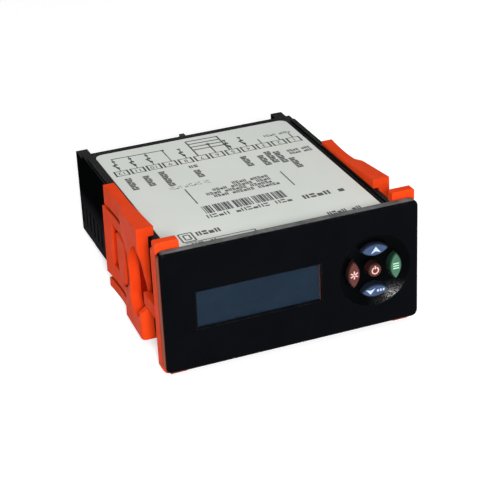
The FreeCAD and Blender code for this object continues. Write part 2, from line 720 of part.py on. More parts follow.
# Mounting clip: one moulding with two levers, a release tongue, a bowed window and a foot
def clip_block():
    """Outer form: finger grip and hump drawn in plan, hollowed for the case and its rails."""
    grip = Part.BSplineCurve()
    grip.interpolate([V(-CASE_X - out, y, 0) for out, y in GRIP])
    hump = V(-CASE_X - HUMP[0], HUMP[1], 0)
    front = V(-CASE_X - CLIP_FRONT, CLIP_Y0, 0)
    lip_front = V(-CLIP_LIP_X, CLIP_Y0, 0)
    lip_rear = V(-CLIP_LIP_X, PLATE_Y1, 0)
    rear = V(-CASE_X - GRIP[0][0], GRIP[0][1], 0)
    grip_end = V(-CASE_X - GRIP[-1][0], GRIP[-1][1], 0)
    straight = Part.makePolygon([grip_end, hump, front, lip_front, lip_rear, rear])
    outline = Part.Face(Part.Wire([grip.toShape()] + straight.Edges))
    block = outline.extrude(V(CLIP_LEAN, 0, CLIP_TOP + CLIP_RAMP - CLIP_BOTTOM))
    block.translate(V(-CLIP_LEAN / 2, 0, CLIP_BOTTOM))
    cuts = [box(-CLIP_IN_X, 0, 0, PLATE_Y1, -CLIP_UNDER, CLIP_UNDER), clip_ramp(), clip_corner()]
    cuts.append(box(-BEZEL_W, 0, ARM_Y1, PLATE_Y1, PLATE_TOP, CLIP_TOP + CLIP_RAMP))
    cuts.append(box(-BEZEL_W, 0, ARM_Y1, PLATE_Y1, CLIP_BOTTOM, PLATE_LOW))
    return block.cut(cuts)


def clip_ramp():
    """What is above the top of the upper lever, which rises towards the front."""
    high = CLIP_TOP + CLIP_RAMP
    profile = [V(0, CLIP_Y0, high), V(0, CLIP_RAMP_Y, CLIP_TOP), V(0, PLATE_Y1, CLIP_TOP),
               V(0, PLATE_Y1, high), V(0, CLIP_Y0, high)]
    return Part.Face(Part.makePolygon(profile)).extrude(V(-BEZEL_W, 0, 0))


def clip_corner():
    """What is outside the rounded front corner below the leaf."""
    x = -CASE_X - CLIP_FRONT - CLIP_LEAN / 2 + CORNER_R
    y = CLIP_Y0 + CORNER_R
    top = LEAF_EDGE[-2][1]
    corner = box(-BEZEL_W, x, CLIP_Y0, y, CLIP_BOTTOM, top)
    return corner.cut(tube_z(2 * CORNER_R, x, y, CLIP_BOTTOM, top))


def leaf_relief():
    """Hollow in the front of the clip that leaves a waisted leaf between the levers."""
    edge = Part.BSplineCurve()
    points = [V(-CASE_X - out, CLIP_Y0, z) for out, z in LEAF_EDGE]
    edge.interpolate(points)
    closing = Part.makePolygon([points[-1], points[0]])
    face = Part.Face(Part.Wire([edge.toShape()] + closing.Edges))
    return face.extrude(V(0, LEAF_T, 0))


def thumb_scoop():
    """Shallow flared hollow for the thumb, between the levers."""
    depth = BEZEL_W / 2
    floor = V(-CASE_X - SCOOP_FLOOR, SCOOP_Y, SCOOP_Z)
    return Part.makeCone(SCOOP_R, SCOOP_R + SCOOP_FLARE * depth, depth, floor, -ALONG_X)


def tongue():
    """Raised release tongue, round at its lower end, with softened edges."""
    face = -CASE_X - TONGUE_OUT
    bar = box(face, -CLIP_IN_X, TONGUE_Y - TONGUE_R, TONGUE_Y + TONGUE_R, TONGUE_LOW, TONGUE_HIGH)
    bar = bar.fuse(tube_x(TONGUE_R, TONGUE_Y, TONGUE_LOW, face, -CLIP_IN_X)).removeSplitter()
    return bar.makeChamfer(TONGUE_EDGE, [e for e in bar.Edges if e.BoundBox.XMax < face + 1e-6])


def tongue_slots():
    """Slot round the tongue, the pocket beside it and the hole at the pocket's top."""
    far = BEZEL_W
    outer = TONGUE_R + TONGUE_SLOT
    bend = tube_x(outer, TONGUE_Y, TONGUE_LOW, -far, 0)
    bend = bend.cut(tube_x(TONGUE_R, TONGUE_Y, TONGUE_LOW, -far, 0))
    bend = bend.common(box(-far, 0, TONGUE_Y - outer, TONGUE_Y + outer, TONGUE_LOW - outer, TONGUE_LOW))
    rear = TONGUE_Y + TONGUE_R
    return [bend,
            box(-far, 0, rear, TONGUE_Y + outer, TONGUE_LOW, TONGUE_HIGH),
            box(-far, 0, TONGUE_Y - outer, TONGUE_Y - TONGUE_R, TONGUE_LOW, TONGUE_HIGH),
            box(-far, -CASE_X - POCKET_FLOOR, rear, POCKET_Y1, POCKET_LOW, TONGUE_HIGH),
            box(-far, 0, POCKET_Y1 - POCKET_HOLE_L, POCKET_Y1, TONGUE_HIGH - POCKET_HOLE_H, TONGUE_HIGH)]


def bowed_window():
    """Window behind the leaf: a wide arc above, a straight rear wall and a tighter arc below."""
    front = CLIP_Y0 + LEAF_T
    upper = tube_x(EYE_R, EYE_Y1 - EYE_R, EYE_Z, -BEZEL_W, 0)
    middle = box(-BEZEL_W, 0, front, EYE_Y1, EYE_LOW_Z, EYE_Z)
    lower = tube_x(EYE_LOW_R, EYE_Y1 - EYE_LOW_R, EYE_LOW_Z, -BEZEL_W, 0)
    upper = upper.common(box(-BEZEL_W, 0, front, EYE_Y1, EYE_Z, EYE_Z + EYE_R))
    lower = lower.common(box(-BEZEL_W, 0, front, EYE_Y1, EYE_LOW_Z - EYE_LOW_R, EYE_LOW_Z))
    return upper.fuse([middle, lower]).removeSplitter()


def clip_openings():
    """Waisted front, bowed window behind it, lever slots and the slots of the tongue."""
    far = BEZEL_W
    upper = box(-far, 0, UPPER_SLOT_Y, PLATE_Y1, PLATE_TOP, PLATE_TOP + SLOT)
    lower = box(-far, 0, LOWER_SLOT_Y, PLATE_Y1, PLATE_LOW - SLOT, PLATE_LOW)
    return [leaf_relief(), bowed_window(), upper, lower] + tongue_slots()


def clip_foot():
    """Foot that presses on the panel: side bar, a pad above and below, and the web behind it."""
    inner = -CASE_X - 2 * SLIP
    bar = box(-FOOT_X, inner, BAR_Y0, BAR_Y1, FOOT_BOTTOM, PAD_Z)
    low = [e for e in edges_along(bar, ALONG_Y)
           if abs(e.BoundBox.XMin + FOOT_X) < 1e-6 and e.BoundBox.ZMax < 0]
    bar = bar.makeFillet(BAR_R, low)
    rear = [e for e in edges_along(bar, ALONG_Z)
            if e.BoundBox.XMax < inner - SLIP and e.BoundBox.YMin > BAR_Y0]
    bar = bar.makeChamfer(BAR_EDGE, rear)
    upper_pad = box(-FOOT_X, -FOOT_IN_X, FOOT_GAP, FOOT_Y1, PAD_Z, FOOT_TOP)
    upper_pad = upper_pad.makeFillet(BAR_EDGE, [e for e in edges_along(upper_pad, ALONG_Y)
                                                if e.BoundBox.ZMin > PAD_Z])
    lower_pad = box(-FOOT_X + BAR_R, -FOOT_IN_X, FOOT_GAP, FOOT_Y1, FOOT_BOTTOM, -PAD_Z)
    web = box(-CASE_X - WEB_T, inner, BAR_Y1, CLIP_Y0 + LEAF_T / 2, WEB_LOW, WEB_TOP)
    return [bar, upper_pad, lower_pad, web]


def mounting_clip():
    body = clip_block().cut(thumb_scoop()).cut(clip_openings())
    return body.fuse(clip_foot() + [tongue()]).removeSplitter()


def build():
    os.makedirs("parts", exist_ok=True)
    save("front_bezel", front_bezel())
    save("display_lens", display_lens())
    save("display_module", display_module())
    save("display_board", display_board())
    switches = []
    for name, x, z, upright in key_places():
        save("button_" + name, key(x, z, upright))
        save("plunger_" + name, plunger(x, z))
        switches.append(tact_switch(x, z, upright))
    save("tact_switches", Part.makeCompound(switches))
    save("controller_chip", controller_chip())
    save("buzzer", buzzer())
    save("board_header", board_header())
    save("case", case())
    save("top_label", top_label())
    save("rear_cover", rear_cover())
    save("terminal_block", terminal_block())
    save("terminal_clamps", Part.makeCompound([terminal_clamp(x) for x in way_centres()]))
    save("terminal_screws", Part.makeCompound([terminal_screw(x) for x in way_centres()]))
    save("main_board", main_board())
    core, bobbin, winding = transformer()
    save("transformer_core", core)
    save("transformer_bobbin", bobbin)
    save("transformer_winding", winding)
    for i in range(RELAYS):
        save("relay_" + str(i + 1), relay(i))
    save("filter_capacitor", capacitor(FILTER_D, FILTER_X, FILTER_Y, FILTER_H))
    save("small_capacitor", capacitor(SMALL_D, SMALL_X, SMALL_Y, SMALL_H))
    save("bridge_rectifier", bridge_rectifier())
    save("voltage_regulator", voltage_regulator())
    save("varistor", varistor())
    left = mounting_clip()
    save("clip_left", left)
    save("clip_right", mirrored(left, ALONG_X))


build()
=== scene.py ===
import math

import bpy
from mathutils import Matrix, Vector


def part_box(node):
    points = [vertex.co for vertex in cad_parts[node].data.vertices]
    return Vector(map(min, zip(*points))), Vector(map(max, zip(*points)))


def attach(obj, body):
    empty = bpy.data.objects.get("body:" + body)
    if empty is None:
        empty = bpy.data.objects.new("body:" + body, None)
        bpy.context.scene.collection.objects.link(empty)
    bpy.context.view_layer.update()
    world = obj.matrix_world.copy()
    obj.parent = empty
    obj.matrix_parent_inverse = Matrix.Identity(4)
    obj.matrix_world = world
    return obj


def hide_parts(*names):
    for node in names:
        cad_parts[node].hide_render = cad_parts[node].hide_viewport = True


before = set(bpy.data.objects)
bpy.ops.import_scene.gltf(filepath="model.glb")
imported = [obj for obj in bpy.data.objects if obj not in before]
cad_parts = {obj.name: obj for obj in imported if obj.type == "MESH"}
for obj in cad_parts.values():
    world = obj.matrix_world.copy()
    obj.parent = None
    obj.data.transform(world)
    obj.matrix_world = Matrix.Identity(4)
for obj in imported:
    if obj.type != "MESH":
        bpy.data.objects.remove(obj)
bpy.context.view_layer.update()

# Case: an open tube of black ABS with side rails, click racks, low vents and rear cheeks.
# It is moulded in one shot against a spark-eroded tool, so it has an even fine grain.
# Its edges are rubbed a little paler and dust lies on top, and a painted reflection lightens the lower
# flanks.
MM = 0.001
GRAIN_DEPTH = 0.03 * MM
SHADE_REACH = 3.5 * MM
DUST_GREY = (0.42, 0.41, 0.38)
CASE_WORN = (0.050, 0.052, 0.055)
# Painted reflection: colour that lightens the case's flanks towards the bottom.
CASE_LOW_REFLECTION = (0.0230, 0.0215, 0.0245)
REFLECTION_STARTS = 1.0 * MM
REFLECTION_FULL = -7.0 * MM
TOP_SHEEN = 0.09


def effect(name, inputs, outputs):
    """Empty shader group with its named sockets."""
    tree = bpy.data.node_groups.new(name, "ShaderNodeTree")
    for socket, value in inputs.items():
        made = tree.interface.new_socket(socket, in_out="INPUT", socket_type="NodeSocketFloat")
        made.default_value = value
    for socket, kind in outputs.items():
        tree.interface.new_socket(socket, in_out="OUTPUT", socket_type="NodeSocket" + kind)
    return tree, tree.nodes.new("NodeGroupInput").outputs, tree.nodes.new("NodeGroupOutput").inputs


def feed(tree, value, socket):
    """Sets a socket, or links it where the value comes from another node."""
    if isinstance(value, bpy.types.NodeSocket):
        tree.links.new(value, socket)
    else:
        socket.default_value = value


def calc(tree, operation, a, b=0.0, clamp=False):
    """One step of arithmetic."""
    node = tree.nodes.new("ShaderNodeMath")
    node.operation = operation
    node.use_clamp = clamp
    feed(tree, a, node.inputs[0])
    feed(tree, b, node.inputs[1])
    return node.outputs[0]


def times(tree, *values):
    """Product of masks and numbers."""
    product = values[0]
    for value in values[1:]:
        product = calc(tree, "MULTIPLY", product, value)
    return product


def spread(tree, value, between=(0.0, 1.0), to=(0.0, 1.0)):
    """Stretches a value from one range to another and holds it there."""
    node = tree.nodes.new("ShaderNodeMapRange")
    for socket, number in zip(node.inputs, (value, *between, *to)):
        feed(tree, number, socket)
    return node.outputs[0]


def tint(tree, amount, under, over):
    """Mixes two colours by a mask."""
    node = tree.nodes.new("ShaderNodeMix")
    node.data_type = "RGBA"
    feed(tree, amount, node.inputs[0])
    feed(tree, under if isinstance(under, bpy.types.NodeSocket) else (*under, 1.0), node.inputs[6])
    feed(tree, over if isinstance(over, bpy.types.NodeSocket) else (*over, 1.0), node.inputs[7])
    return node.outputs[2]


def place(tree):
    """Place on the piece, in its own coordinates."""
    return tree.nodes.new("ShaderNodeTexCoord").outputs["Object"]


def parts_of(tree, vector):
    """The three components of a place or a normal."""
    split = tree.nodes.new("ShaderNodeSeparateXYZ")
    feed(tree, vector, split.inputs[0])
    return split.outputs


def normal_part(tree, axis):
    """One component of the surface normal."""
    return parts_of(tree, tree.nodes.new("ShaderNodeNewGeometry").outputs["Normal"])[axis]


def noise(tree, scale, detail=3.0, rough=0.5):
    """Cloudy pattern on the piece's own coordinates."""
    node = tree.nodes.new("ShaderNodeTexNoise")
    feed(tree, place(tree), node.inputs["Vector"])
    feed(tree, scale, node.inputs["Scale"])
    node.inputs["Detail"].default_value = detail
    node.inputs["Roughness"].default_value = rough
    return node.outputs["Fac"]


moulded_grain, grain_in, grain_out = effect("moulded_grain", {"Grain": 3000.0, "Patch": 90.0},
                                            {"Height": "Float", "Tone": "Float"})
feed(moulded_grain, noise(moulded_grain, scale=grain_in["Grain"]), grain_out["Height"])
patches = noise(moulded_grain, scale=grain_in["Patch"], detail=6.0, rough=0.6)
feed(moulded_grain, spread(moulded_grain, patches, between=(0.34, 0.66)), grain_out["Tone"])

rubbed_edge, edge_in, edge_out = effect("rubbed_edge", {"Radius": 0.0003, "Strength": 4.0},
                                        {"Normal": "Vector", "Wear": "Float"})
round_off = rubbed_edge.nodes.new("ShaderNodeBevel")
round_off.samples = 6
feed(rubbed_edge, edge_in["Radius"], round_off.inputs["Radius"])
lean = rubbed_edge.nodes.new("ShaderNodeVectorMath")
lean.operation = "DOT_PRODUCT"
feed(rubbed_edge, round_off.outputs[0], lean.inputs[0])
feed(rubbed_edge, rubbed_edge.nodes.new("ShaderNodeNewGeometry").outputs["Normal"], lean.inputs[1])
turned = calc(rubbed_edge, "SUBTRACT", 1.0, lean.outputs["Value"])
broken = spread(rubbed_edge, noise(rubbed_edge, scale=900.0, detail=5.0, rough=0.7), between=(0.42, 0.68))
rubbed = times(rubbed_edge, turned, edge_in["Strength"], broken)
feed(rubbed_edge, calc(rubbed_edge, "MINIMUM", rubbed, 1.0), edge_out["Wear"])
feed(rubbed_edge, round_off.outputs[0], edge_out["Normal"])

settled_dust, dust_in, dust_out = effect("settled_dust", {"Amount": 0.1}, {"Mask": "Float"})
upward = spread(settled_dust, normal_part(settled_dust, "Z"), between=(0.35, 1.0))
speck = spread(settled_dust, noise(settled_dust, scale=1400.0, detail=6.0, rough=0.75), between=(0.36, 0.82))
film = spread(settled_dust, noise(settled_dust, scale=60.0, detail=4.0), between=(0.3, 0.7), to=(0.25, 1.0))
feed(settled_dust, times(settled_dust, speck, film, upward, dust_in["Amount"]), dust_out["Mask"])

side_facing, _, side_out = effect("side_facing", {}, {"Mask": "Float"})
sideways = calc(side_facing, "ABSOLUTE", normal_part(side_facing, "X"))
feed(side_facing, spread(side_facing, sideways, between=(0.80, 0.98)), side_out["Mask"])


def new_material(name):
    """Material with its tree and its shader."""
    material = bpy.data.materials.new(name)
    material.use_nodes = True
    return material, material.node_tree, material.node_tree.nodes["Principled BSDF"].inputs


def use(tree, group, **values):
    """Places a shader group with its own values."""
    node = tree.nodes.new("ShaderNodeGroup")
    node.node_tree = group
    for name, value in values.items():
        node.inputs[name].default_value = value
    return node.outputs


def relief(tree, height, strength, depth, normal=None):
    """Bump from a height, on top of another normal where there is one."""
    node = tree.nodes.new("ShaderNodeBump")
    node.inputs["Strength"].default_value = strength
    node.inputs["Distance"].default_value = depth
    feed(tree, height, node.inputs["Height"])
    if normal is not None:
        feed(tree, normal, node.inputs["Normal"])
    return node.outputs[0]


def moulded(name, colour, deep, worn, rough, grain=3600.0, bite=0.25, radius=0.3 * MM, wear=4.0, dust=0.08,
            gloss=0.5, corner_shade=None):
    """Moulded plastic: two tones in soft patches, fine grain, rubbed edges, some dust, painted shade in
    corners.
    """
    material, tree, shader = new_material(name)
    skin = use(tree, moulded_grain, Grain=grain)
    edge = use(tree, rubbed_edge, Radius=radius, Strength=wear)
    dusty = use(tree, settled_dust, Amount=dust)
    body = tint(tree, skin["Tone"], colour, deep)
    body = tint(tree, edge["Wear"], body, worn)
    # Painted shade: ambient occlusion darkens corners and recesses towards the given colour.
    if corner_shade:
        hollow = tree.nodes.new("ShaderNodeAmbientOcclusion")
        hollow.samples = 12
        hollow.inputs["Distance"].default_value = SHADE_REACH
        shade_amount = spread(tree, hollow.outputs["AO"], between=(0.25, 0.66), to=(0.8, 0.0))
        body = tint(tree, shade_amount, body, corner_shade)
    feed(tree, tint(tree, dusty["Mask"], body, DUST_GREY), shader["Base Color"])
    matt = spread(tree, skin["Tone"], to=(rough - 0.05, rough + 0.06))
    feed(tree, calc(tree, "ADD", matt, dusty["Mask"], clamp=True), shader["Roughness"])
    surface = relief(tree, skin["Height"], strength=bite, depth=GRAIN_DEPTH, normal=edge["Normal"])
    feed(tree, surface, shader["Normal"])
    shader["Specular IOR Level"].default_value = gloss
    return material


def dress(material, *names):
    """Gives CAD nodes their finish."""
    for name in names:
        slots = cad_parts[name].data.materials
        slots.clear()
        slots.append(material)


case_black = moulded("case_black", colour=(0.0026, 0.0029, 0.0033), deep=(0.0018, 0.0020, 0.0024),
                     worn=CASE_WORN, rough=0.52, dust=0.13, gloss=0.0)
tree = case_black.node_tree
shader = tree.nodes["Principled BSDF"].inputs
# Painted reflection: the side faces are tinted lighter towards the bottom.
low_down = spread(tree, parts_of(tree, place(tree))["Z"], between=(REFLECTION_STARTS, REFLECTION_FULL))
reflected_low = times(tree, use(tree, side_facing)["Mask"], low_down)
plain = shader["Base Color"].links[0].from_socket
feed(tree, tint(tree, reflected_low, plain, CASE_LOW_REFLECTION), shader["Base Color"])
upper = spread(tree, normal_part(tree, "Z"), between=(0.85, 0.98))
feed(tree, times(tree, upper, TOP_SHEEN), shader["Coat Weight"])
shader["Coat Roughness"].default_value = 0.30
dress(case_black, "case")

# Rear cover: a slotted strip of the same black ABS, pressed in under the main board.
# It has the case's grain but a duller face, because it comes from another tool.
cover_black = moulded("cover_black", colour=(0.018, 0.018, 0.019), deep=(0.011, 0.011, 0.012),
                      worn=(0.07, 0.07, 0.07), rough=0.58, gloss=0.06)
dress(cover_black, "rear_cover")

# Main board and display board: glass-fibre laminate with green solder resist over copper tracks.
# The tracks show as slightly raised, paler runs under the resist, which is mottled where it flowed.
RESIST_GREEN = (0.018, 0.125, 0.05)
TRACK_GREEN = (0.06, 0.26, 0.10)
MOTTLE_GREEN = (0.012, 0.085, 0.035)


def pattern(tree, kind, vector=None, **values):
    """Wave, brick or cell pattern on the piece's own coordinates, or on turned ones."""
    node = tree.nodes.new("ShaderNodeTex" + kind)
    feed(tree, place(tree) if vector is None else vector, node.inputs["Vector"])
    for name, value in values.items():
        node.inputs[name.replace("_", " ")].default_value = value
    return node


board, tree, shader = new_material("board_resist")
tracks = pattern(tree, "Brick", Scale=95.0, Mortar_Size=0.018, Mortar_Smooth=0.2)
tracks.offset = 0.37
resist = tint(tree, tracks.outputs["Fac"], RESIST_GREEN, TRACK_GREEN)
mottle = spread(tree, noise(tree, scale=180.0, detail=4.0), between=(0.35, 0.65))
feed(tree, tint(tree, times(tree, mottle, 0.35), resist, MOTTLE_GREEN), shader["Base Color"])
feed(tree, spread(tree, mottle, to=(0.30, 0.42)), shader["Roughness"])
feed(tree, relief(tree, tracks.outputs["Fac"], strength=0.5, depth=0.05 * MM), shader["Normal"])
dress(board, "main_board", "display_board")

# Transformer core: E and I stampings of silicon steel, stacked, varnished and clamped by their own fit.
# The stack shows as fine lines along the sheets, with varnish pooled brown between them.
SHEET_EDGE = (0.34, 0.34, 0.35)
SHEET_GAP = (0.10, 0.09, 0.08)
VARNISH_BROWN = (0.16, 0.11, 0.07)
core, tree, shader = new_material("core_laminations")
sheets = pattern(tree, "Wave", Scale=320.0, Distortion=0.4)
sheets.bands_direction = "Z"
varnish = spread(tree, noise(tree, scale=260.0, detail=5.0), between=(0.40, 0.66))
stack = tint(tree, sheets.outputs["Fac"], SHEET_GAP, SHEET_EDGE)
feed(tree, tint(tree, varnish, stack, VARNISH_BROWN), shader["Base Color"])
feed(tree, spread(tree, varnish, to=(0.9, 0.35)), shader["Metallic"])
feed(tree, spread(tree, sheets.outputs["Fac"], to=(0.55, 0.38)), shader["Roughness"])
feed(tree, relief(tree, sheets.outputs["Fac"], strength=0.7, depth=0.05 * MM), shader["Normal"])
dress(core, "transformer_core")

# Transformer bobbin: a natural nylon moulding with a flange at each end, pushed on the core's middle leg.
# Unfilled nylon is waxy and slightly yellow, and its grain is hardly to be seen.
bobbin_nylon = moulded("bobbin_nylon", colour=(0.62, 0.58, 0.46), deep=(0.55, 0.50, 0.38),
                       worn=(0.70, 0.67, 0.56), rough=0.48, wear=2.0)
dress(bobbin_nylon, "transformer_bobbin")

# Transformer winding: enamelled copper wire laid turn by turn round the bobbin.
# Each turn is a shallow ridge, and the enamel is darker in the valleys.
WIRE_RIDGE = (0.62, 0.24, 0.10)
WIRE_VALLEY = (0.16, 0.045, 0.015)
WIRE_PATCH = (0.40, 0.14, 0.06)
winding, tree, shader = new_material("winding_wire")
turns = pattern(tree, "Wave", Scale=480.0, Distortion=0.6, Detail=1.0)
turns.bands_direction = "Y"
enamel = tint(tree, turns.outputs["Fac"], WIRE_VALLEY, WIRE_RIDGE)
patchy = spread(tree, noise(tree, scale=220.0), between=(0.45, 0.7))
feed(tree, tint(tree, patchy, enamel, WIRE_PATCH), shader["Base Color"])
feed(tree, spread(tree, turns.outputs["Fac"], to=(0.5, 0.28)), shader["Roughness"])
feed(tree, spread(tree, turns.outputs["Fac"], to=(0.5, 0.95)), shader["Metallic"])
feed(tree, relief(tree, turns.outputs["Fac"], strength=0.9, depth=0.08 * MM), shader["Normal"])
dress(winding, "transformer_winding")

# Relays: four sealed blue polyester boxes, soldered in a row in front of the terminal block.
# Each box is moulded with rounded corners, satin on its faces and rubbed along its edges.
relay_blue = moulded("relay_blue", colour=(0.045, 0.10, 0.30), deep=(0.030, 0.075, 0.235),
                     worn=(0.20, 0.28, 0.45), rough=0.40, radius=0.4 * MM)
dress(relay_blue, "relay_1", "relay_2", "relay_3", "relay_4")

# Capacitors: aluminium cans in a shrunk dark sleeve with a pale stripe down the negative side.
# The stripe runs up the side that faces the front, and the sleeve has fine shrink lines.
SLEEVE_NAVY = (0.020, 0.022, 0.040)
SLEEVE_PALER = (0.035, 0.037, 0.06)
STRIPE_GREY = (0.48, 0.50, 0.52)
CAN_ALUMINIUM = (0.55, 0.55, 0.56)
sleeve, tree, shader = new_material("capacitor_sleeve")
shrink = pattern(tree, "Wave", Scale=700.0, Distortion=2.0)
shrink.bands_direction = "Z"
stripe = spread(tree, normal_part(tree, "Y"), between=(-0.90, -0.86), to=(1.0, 0.0))
can_top = spread(tree, normal_part(tree, "Z"), between=(0.80, 0.86))
cloudy = spread(tree, noise(tree, scale=300.0), between=(0.4, 0.7))
sleeve_tone = tint(tree, cloudy, SLEEVE_NAVY, SLEEVE_PALER)
striped = tint(tree, stripe, sleeve_tone, STRIPE_GREY)
feed(tree, tint(tree, can_top, striped, CAN_ALUMINIUM), shader["Base Color"])
feed(tree, can_top, shader["Metallic"])
feed(tree, spread(tree, shrink.outputs["Fac"], to=(0.28, 0.36)), shader["Roughness"])
feed(tree, relief(tree, shrink.outputs["Fac"], strength=0.15, depth=0.02 * MM), shader["Normal"])
dress(sleeve, "filter_capacitor", "small_capacitor")

# Chips, rectifier, regulator, buzzer and board header: filled black epoxy and nylon mouldings.
# Epoxy is duller than the case and carries a coarser grain from the mould.
epoxy_black = moulded("epoxy_black", colour=(0.022, 0.022, 0.023), deep=(0.014, 0.014, 0.015),
                      worn=(0.09, 0.09, 0.09), rough=0.62, grain=6000.0, bite=0.4)
dress(epoxy_black, "controller_chip", "bridge_rectifier", "voltage_regulator", "buzzer", "board_header")

# Varistor: a ceramic disc with two wire legs, dipped in blue resin and soldered across the mains.
# The dipped skin is thick, soft at the rim and slightly lumpy.
varistor_resin = moulded("varistor_resin", colour=(0.05, 0.14, 0.33), deep=(0.035, 0.10, 0.26),
                         worn=(0.12, 0.22, 0.40), rough=0.33, grain=900.0, bite=0.5, wear=0.5)
dress(varistor_resin, "varistor")

# Terminal block: black flame-retardant nylon with twelve screw wells and twelve wire entries.
# Nylon is a touch greyer and drier than the case, and its thin walls show rubbed rims.
terminal_nylon = moulded("terminal_nylon", colour=(0.022, 0.023, 0.024), deep=(0.013, 0.0135, 0.014),
                         worn=(0.10, 0.10, 0.10), rough=0.55, radius=0.2 * MM, wear=5.0, dust=0.12,
                         gloss=0.06)
dress(terminal_nylon, "terminal_block")

# Terminal clamps: cages bent from brass strip, one in each way, lifted by its screw on to the wire.
# Brass has rolled lines along the strip and dull brown patches where it has tarnished.
BRASS_YELLOW = (0.72, 0.52, 0.22)
BRASS_TARNISH = (0.42, 0.28, 0.12)
brass, tree, shader = new_material("clamp_brass")
rolled = pattern(tree, "Wave", Scale=1500.0, Distortion=3.0, Detail=3.0)
rolled.bands_direction = "Z"
tarnish = spread(tree, noise(tree, scale=420.0, detail=5.0), between=(0.42, 0.72))
feed(tree, tint(tree, tarnish, BRASS_YELLOW, BRASS_TARNISH), shader["Base Color"])
feed(tree, spread(tree, tarnish, to=(0.26, 0.5)), shader["Roughness"])
shader["Metallic"].default_value = 1.0
feed(tree, relief(tree, rolled.outputs["Fac"], strength=0.2, depth=0.01 * MM), shader["Normal"])
dress(brass, "terminal_clamps")

# Terminal screws: zinc-plated steel machine screws with a slotted cheese head and a rolled thread.
# Each stands in its well with the head on the clamp and the shank through the clamp's top wall.
WAYS = 12
WAY_PITCH = 5.08 * MM
screw_low, screw_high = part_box("terminal_screws")
SCREW_Y = (screw_low.y + screw_high.y) / 2
HEAD_R = (screw_high.y - screw_low.y) / 2
HEAD_H = 2.0 * MM
HEAD_TOP = screw_high.z
HEAD_FOOT = screw_high.z - HEAD_H
HEAD_BEVEL = 0.22 * MM
SLOT_W = 0.7 * MM
SLOT_H = 0.8 * MM
SHANK_R = 1.1 * MM
SHANK_L = HEAD_FOOT - screw_low.z
THREAD_PITCH = 0.5 * MM
THREAD_DEPTH = 0.22 * MM
THREAD_ROOT = SHANK_R - 1.5 * THREAD_DEPTH
THREAD_CREST = 0.08
THREAD_START = 0.6
ZINC_BRIGHT = (0.58, 0.58, 0.60)
ZINC_DULL = (0.40, 0.40, 0.43)
NEAR = 1e-6


def leave_edit():
    """Back from edit mode."""
    bpy.ops.object.mode_set(mode="OBJECT")


def only(*objects):
    """Selects these objects and nothing else, the first one active."""
    bpy.ops.object.select_all(action="DESELECT")
    for item in objects:
        item.select_set(True)
    bpy.context.view_layer.objects.active = objects[0]


def pick(item, test, kind="faces"):
    """Enters edit mode with the faces or edges whose middle passes a test selected."""
    only(item)
    bpy.ops.object.mode_set(mode="EDIT")
    bpy.ops.mesh.select_mode(type="FACE" if kind == "faces" else "EDGE")
    bpy.ops.mesh.select_all(action="DESELECT")
    leave_edit()
    points = item.data.vertices
    for part in item.data.polygons if kind == "faces" else item.data.edges:
        middle = sum((points[i].co for i in part.vertices), Vector()) / len(part.vertices)
        part.select = test(middle)
    bpy.ops.object.mode_set(mode="EDIT")


def finish_modifier(item, kind, **settings):
    """Adds a modifier and applies it."""
    only(item)
    modifier = item.modifiers.new(kind.lower(), kind)
    for name, value in settings.items():
        setattr(modifier, name, value)
    bpy.ops.object.modifier_apply(modifier=modifier.name)


def settle(item):
    """Puts the place of a piece in its mesh."""
    only(item)
    bpy.ops.object.transform_apply(location=True, rotation=True, scale=True)


def clean(item):
    """Merges doubles and turns the faces outwards."""
    only(item)
    bpy.ops.object.mode_set(mode="EDIT")
    bpy.ops.mesh.select_all(action="SELECT")
    bpy.ops.mesh.remove_doubles(threshold=1e-7)
    bpy.ops.mesh.normals_make_consistent(inside=False)
    leave_edit()


bpy.ops.object.select_all(action="DESELECT")
bpy.ops.mesh.primitive_cylinder_add(vertices=40, radius=HEAD_R, depth=HEAD_H,
                                    location=(0, 0, HEAD_TOP - HEAD_H / 2))
screw_head = bpy.context.object
settle(screw_head)
pick(screw_head, lambda m: abs(m.z - HEAD_TOP) < NEAR or abs(m.z - HEAD_FOOT) < NEAR, "edges")
bpy.ops.mesh.bevel(offset=HEAD_BEVEL, segments=2)
leave_edit()
bpy.ops.mesh.primitive_cube_add(size=1.0, location=(0, 0, HEAD_TOP))
screw_slot = bpy.context.object
screw_slot.dimensions = (4 * HEAD_R, SLOT_W, 2 * SLOT_H)
settle(screw_slot)
finish_modifier(screw_head, "BOOLEAN", object=screw_slot, operation="DIFFERENCE", solver="EXACT")
bpy.data.objects.remove(screw_slot)
bpy.ops.mesh.primitive_cylinder_add(vertices=24, radius=SHANK_R - THREAD_DEPTH, depth=SHANK_L,
                                    location=(0, 0, (HEAD_FOOT + screw_low.z) / 2))
screw_core = bpy.context.object
settle(screw_core)
bpy.ops.mesh.primitive_plane_add(size=1.0)
screw_thread = bpy.context.object
thread_profile = [(THREAD_ROOT, -0.5), (SHANK_R, -THREAD_CREST), (SHANK_R, THREAD_CREST), (THREAD_ROOT, 0.5)]
for corner, (reach, rise) in zip((0, 1, 3, 2), thread_profile):
    height = screw_low.z + (rise + THREAD_START) * THREAD_PITCH
    screw_thread.data.vertices[corner].co = (reach, 0, height)
pick(screw_thread, lambda m: True)
bpy.ops.mesh.delete(type="ONLY_FACE")
leave_edit()
finish_modifier(screw_thread, "SCREW", angle=math.tau, screw_offset=THREAD_PITCH,
                iterations=int(SHANK_L / THREAD_PITCH) - 1, steps=20, render_steps=20)
only(screw_head, screw_core, screw_thread)
bpy.ops.object.join()
clean(screw_head)
only(screw_head)
bpy.ops.object.shade_smooth_by_angle(angle=math.radians(35))
screw_head.location = (-(WAYS - 1) / 2 * WAY_PITCH, SCREW_Y, 0)
settle(screw_head)
screws = [screw_head]
for way in range(1, WAYS):
    only(screws[-1])
    bpy.ops.object.duplicate()
    screws.append(bpy.context.object)
    screws[-1].location.x = WAY_PITCH
    settle(screws[-1])
only(*screws)
